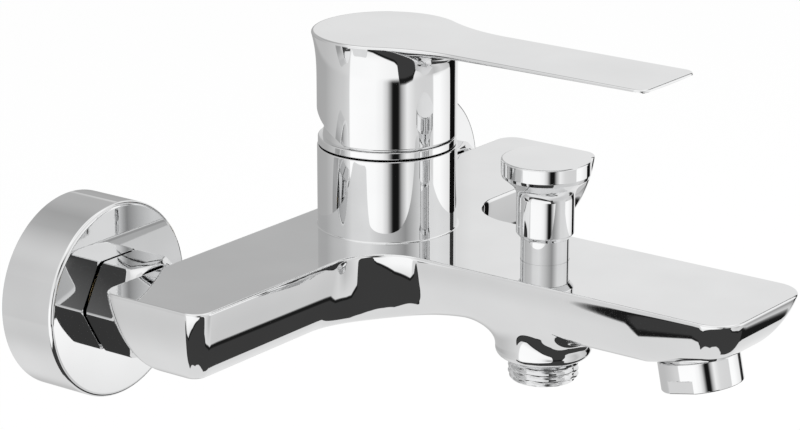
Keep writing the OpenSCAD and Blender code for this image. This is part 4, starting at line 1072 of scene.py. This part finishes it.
def aerator_shell(sides=240):
    """Rows down the outside, over the ledge that a flat leaves, round the lower edge, and up the bore."""
    x = spokes(AERATOR_UP, sides)[:, 0]
    whole = np.full(sides, RING_R)
    flat = np.minimum(whole, SPANNER_FLATS / np.maximum(np.abs(x), 1e-6))
    gap = whole - flat
    cut = np.clip(gap / 0.1, 0, 1)               # 1 where a flat leaves a ledge, 0 elsewhere
    upper = [(whole - 0.35, -0.15), (whole - 0.15, -0.18), (whole - 0.04, -0.27), (whole, -0.4),
             (whole, -0.55), (whole, -2.5), (whole, LEDGE + 0.25), (whole, LEDGE + 0.1)]
    ledge = [(whole - 0.03 * cut, LEDGE + 0.03), (flat + gap * 0.9, LEDGE), (flat + gap * 0.1, LEDGE - 0.02),
             (flat, LEDGE - 0.07), (flat, LEDGE - 0.2)]
    lower = [(flat, RING_LOW + 0.5), (flat, RING_LOW + 0.3), (flat - 0.09, RING_LOW + 0.09),
             (flat - 0.3, RING_LOW)]
    mouth = [(MOUTH_R + 0.3, RING_LOW), (MOUTH_R + 0.1, RING_LOW + 0.05), (MOUTH_R, RING_LOW + 0.2),
             (MOUTH_R, MOUTH_TOP), (THREAD_BORE, MOUTH_TOP), (THREAD_BORE, -0.15)]
    return turned(upper + ledge + lower + mouth, AERATOR_AT, AERATOR_UP, sides)


add_piece("aerator_ring", [aerator_shell()], "fixed", "chrome", "aerator_housing", crease=50)

# %% [markdown]
# ## Studio
# Chrome has no colour of its own: it shows the room. The room here is a soft studio: a world whose
# brightness changes slowly round the horizon, as with large white walls, and a few dark flags that give
# the metal its dark bands. Only mirror rays see that studio. The camera sees plain white, and what
# isn't a mirror gets the light of a plain pale room.

# %% Directions in the studio
world = bpy.data.worlds.new("studio")
bpy.context.scene.world = world
world.use_nodes = True
sky = world.node_tree
sky.nodes.clear()
FRONT = -143.0                       # compass angle from the faucet towards the usual viewer
CHROME_BACK = 0.82                   # share of the light that chrome gives back

direction = add_node(sky, "TexCoord").outputs["Generated"]
east, north, height = add_node(sky, "SeparateXYZ", {0: direction}).outputs
turn = calc(sky, "DIVIDE", calc(sky, "ARCTAN2", north, east), 2 * math.pi)
compass = calc(sky, "FRACT", calc(sky, "ADD", turn, (180.0 - FRONT) / 360.0 + 1.0))
elevation = calc(sky, "ADD", calc(sky, "DIVIDE", calc(sky, "ARCSINE", height), math.pi), 0.5)


def over_compass(stops, colour):
    """Ramp round the compass: (degrees to the viewer's right, number) pairs, turned to grey by colour."""
    node = add_node(sky, "ValToRGB", {"Fac": compass})
    elements = node.color_ramp.elements
    for i, (angle, number) in enumerate(stops):
        spot = (angle + 180.0) / 360.0
        element = elements[i] if i < 2 else elements.new(spot)
        element.position = spot
        element.color = (*[colour(number)] * 3, 1.0)
    return node.outputs["Color"]


def grey(level):
    """Linear brightness of a display level from 0 to 255, divided by what chrome gives back."""
    v = level / 255.0
    return (v / 12.92 if v <= 0.04045 else ((v + 0.055) / 1.055) ** 2.4) / CHROME_BACK


def rise(degrees):
    """Elevation as the nodes count it: 0 to 1 stands for -90 to 90 degrees."""
    return degrees / 180.0 + 0.5


# %% [markdown]
# The walls are rings of brightness. Each is a colour ramp over the compass, from -180 to 180 degrees to
# the viewer's right, and each fades into the next over a range of elevation. Two of the walls have a dark
# gap a little to the right of the front, which draws a dark line down every turned piece.

# %% Walls of the studio
LOWEST_WALL = [(-180, 213), (-90, 214), (0, 216), (180, 213)]
WALLS = (   # elevations between which the wall takes over from the one below, and its stops
    (-50, -32, [(-180, 180), (-150, 182), (-120, 186), (-100, 193), (-84, 201), (-66, 212), (-64.5, 212),
                (-63, 249), (-20, 249), (0, 244), (40, 235), (66, 205), (84, 185), (100, 208), (122, 190),
                (148, 214), (160, 222), (180, 214)]),
    (-22, -19, [(-180, 157), (-120, 168), (-100, 186), (-85, 196), (-75, 200), (-66, 209), (-64.5, 212),
                (-63, 251), (-20, 250), (-8, 240), (0, 205), (5, 135), (8.5, 45), (10, 20), (18, 20),
                (19.5, 60), (24, 165), (33, 235), (47, 212), (60, 208), (80, 208), (82, 251), (96, 250),
                (108, 240), (121, 228), (148, 200), (156, 226), (180, 222)]),
    (-4, 6, [(-180, 165), (-120, 172), (-100, 190), (-74, 200), (-60, 225), (-30, 235), (0, 225), (9, 60),
             (19, 60), (30, 205), (60, 232), (90, 251), (121, 245), (150, 222), (180, 220)]),
    (11.5, 12.5, [(-180, 218), (-177.5, 218), (-173, 172), (-120, 176), (-100, 192), (-74, 200), (-60, 225),
                  (-30, 235), (0, 225), (30, 205), (60, 232), (90, 234), (121, 230), (150, 222), (180, 218)]),
    (15.6, 16.4, [(-180, 174), (-160, 172), (-120, 176), (-100, 192), (-74, 202), (-60, 225), (-30, 232),
                  (0, 200), (30, 150), (60, 228), (90, 232), (121, 225), (150, 215), (170, 221), (178.5, 221),
                  (180, 174)]),
    (24, 40, [(-180, 185), (-150, 160), (-125, 170), (-100, 198), (-80, 215), (-60, 235), (0, 235), (30, 215),
              (60, 215), (165, 232), (180, 185)]),
    (50, 60, [(-180, 242), (-60, 248), (60, 244), (180, 242)]),
    (66, 76, [(-180, 226), (-60, 232), (60, 224), (180, 226)]),
)
room = over_compass(LOWEST_WALL, grey)
for start, end, stops in WALLS:
    span = {"Value": elevation, "From Min": rise(start), "From Max": rise(end)}
    share = add_node(sky, "MapRange", span, interpolation_type="SMOOTHSTEP").outputs["Result"]
    room = mix_colours(sky, share, room, over_compass(stops, grey))
print(len(WALLS) + 1, "walls, one above another")

# %% [markdown]
# In front of the walls stand dark flags. The large one lies low and reaches most of the way round: it is
# what the undersides and the flared sides see, and its upper edge, drawn as a height over the compass,
# sets where those dark shapes end. A thin darker line runs along that edge. Two posts, one above the
# other, and a short flag over the front give the turned pieces more dark marks.

# %% Flags and posts
FLAG_LEVEL, FLAG_LINE_LEVEL, FLAG_LINE = 57, 26, 2.4     # the line's width is in degrees
FLAG_TOP = [(-180, -90), (-107, -90), (-106, -68), (-95, -64), (-88, -55), (-86, -51.5), (-82, -45.5),
            (-79.3, -40), (-76.5, -35), (-73.5, -30), (-72, -29), (-69, -40), (-60, -45), (-25, -42),
            (4, -35), (12, -33), (17, -30), (19, -21), (21, -18.7), (30, -18.7), (43, -20), (50, -28),
            (57, -46), (73, -50.5), (84, -49), (96, -46), (108, -43), (119, -37), (126, -34), (143, -34),
            (145, -90), (180, -90)]
FLAG_FOOT = [(-180, -66), (-106, -69), (-85, -72), (-79, -73), (-70, -76), (-60, -81), (-48, -85), (30, -84),
             (87, -79), (110, -75), (119, -73), (134, -67), (142, -64), (145, -50), (180, -50)]
POSTS = (   # from and to on the compass, foot and top above the horizon, level
    (123.5, 147.0, -31.0, -10.0, 14),
    (126.0, 143.0, -12.0, 46.0, 50),
    (-4.0, 30.0, 24.0, 40.0, 62),
)


def above(edge, soft):
    """0 below an edge line and 1 above it, with a soft border of so many degrees."""
    share = calc(sky, "ADD", calc(sky, "DIVIDE", calc(sky, "SUBTRACT", elevation, edge), soft / 180.0), 0.5)
    return calc(sky, "MINIMUM", calc(sky, "MAXIMUM", share, 0.0), 1.0)


def between(foot, top, soft_foot, soft_top):
    """1 above the foot's edge line and below the top's, 0 outside them."""
    return calc(sky, "MULTIPLY", above(foot, soft_foot), calc(sky, "SUBTRACT", 1.0, above(top, soft_top)))


flag_top, flag_foot = over_compass(FLAG_TOP, rise), over_compass(FLAG_FOOT, rise)
flag = between(flag_foot, flag_top, 1.2, 1.2)
line = calc(sky, "MULTIPLY", flag, above(calc(sky, "SUBTRACT", flag_top, FLAG_LINE / 180.0), 1.0))
room = mix_colours(sky, flag, room, grey(FLAG_LEVEL))
room = mix_colours(sky, line, room, grey(FLAG_LINE_LEVEL))
for start, end, foot, top, level in POSTS:
    head = over_compass([(-180, -90), (start - 0.8, -90), (start + 0.8, top), (end - 0.8, top),
                         (end + 0.8, -90), (180, -90)], rise)
    heel = over_compass([(-180, foot), (180, foot)], rise)
    room = mix_colours(sky, between(heel, head, 5.0, 4.0), room, grey(level))
print(len(FLAG_TOP), "points along the flag's edge,", len(POSTS), "posts")

# %% [markdown]
# The world asks each ray what it is. Rays from a mirror or through glass get the studio, camera rays get
# plain white, and all other rays get the light of a pale room, so that matt pieces keep their colours.

# %% Who sees the studio
PLAIN_ROOM = 0.85                    # brightness of the room for everything that isn't a mirror
rays = add_node(sky, "LightPath").outputs
mirror_rays = calc(sky, "MAXIMUM", rays["Is Glossy Ray"], rays["Is Transmission Ray"])
shown = calc(sky, "MAXIMUM", rays["Is Camera Ray"], mirror_rays)
seen = add_node(sky, "Background", {"Color": mix_colours(sky, mirror_rays, 1.0, room)})
lit = add_node(sky, "Background", {"Color": mix_colours(sky, mirror_rays, PLAIN_ROOM, room)})
pick = add_node(sky, "MixShader", {0: shown, 1: lit.outputs[0], 2: seen.outputs[0]})
add_node(sky, "OutputWorld", {0: pick.outputs[0]})
print("studio:", len(sky.nodes), "nodes")

# %% [markdown]
# The floor is a plain pale sheet well below the faucet. To the camera it is nearly white with a soft
# shadow. Mirror rays pass it by, so the metal shows the studio right down to its feet.

# %% Floor
SPREAD, DROP = 6.0, -0.35            # metres
FLOOR_GLOW = 0.9


def floor_material():
    """Pale paint; the camera sees 0.9 plain white and 0.1 of the lit paint with its shadow."""
    material = bpy.data.materials.new("pale_floor")
    material.use_nodes = True
    tree = material.node_tree
    tree.nodes.clear()
    share = calc(tree, "MULTIPLY", add_node(tree, "LightPath").outputs["Is Camera Ray"], FLOOR_GLOW)
    paint = add_node(tree, "BsdfDiffuse", {"Color": (0.93, 0.93, 0.93, 1)})
    glow = add_node(tree, "Emission")
    both = add_node(tree, "MixShader", {0: share, 1: paint.outputs[0], 2: glow.outputs[0]})
    add_node(tree, "OutputMaterial", {0: both.outputs[0]})
    return material


corners = [(x * SPREAD, y * SPREAD, DROP) for x, y in ((-1, -1), (1, -1), (1, 1), (-1, 1))]
floor_mesh = bpy.data.meshes.new("floor")
floor_mesh.from_pydata(corners, [], [(0, 1, 2, 3)])
floor_mesh.materials.append(floor_material())
floor = bpy.data.objects.new("floor", floor_mesh)
bpy.context.scene.collection.objects.link(floor)
floor.visible_glossy = False
floor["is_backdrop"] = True
print("floor", -DROP, "m below the inlets")

# %% [markdown]
# Two soft round lamps give the floor's shadow and the matt pieces their shape. They are left out of
# mirror rays too, because their discs would show as hot spots in the chrome.

# %% Lamps
def soft_lamp(name, at, to, size, power):
    """Round area lamp at a place in metres, turned towards another."""
    lamp = bpy.data.objects.new(name, bpy.data.lights.new(name, "AREA"))
    lamp.data.shape, lamp.data.size, lamp.data.energy = "DISK", size, power
    lamp.visible_glossy = False
    aim(lamp, at, to)
    print(f"{name}: {power} W, {size} m across")


soft_lamp("top_lamp", (-0.5, -0.9, 1.7), (0, -0.1, 0), 1.4, 16.0)
soft_lamp("side_lamp", (1.3, -0.6, 0.9), (0, -0.1, 0), 1.0, 6.0)

# %% [markdown]
# ## Sizes
# The standard view transform shows a colour as it is written. The visual model has to fill the same box
# as the CAD model, so both boxes are printed.

# %% View settings and sizes
bpy.context.scene.view_settings.view_transform = "Standard"
now_low, now_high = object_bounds()
show_box("CAD box   ", cad_low, cad_high)
show_box("visual box", now_low, now_high)
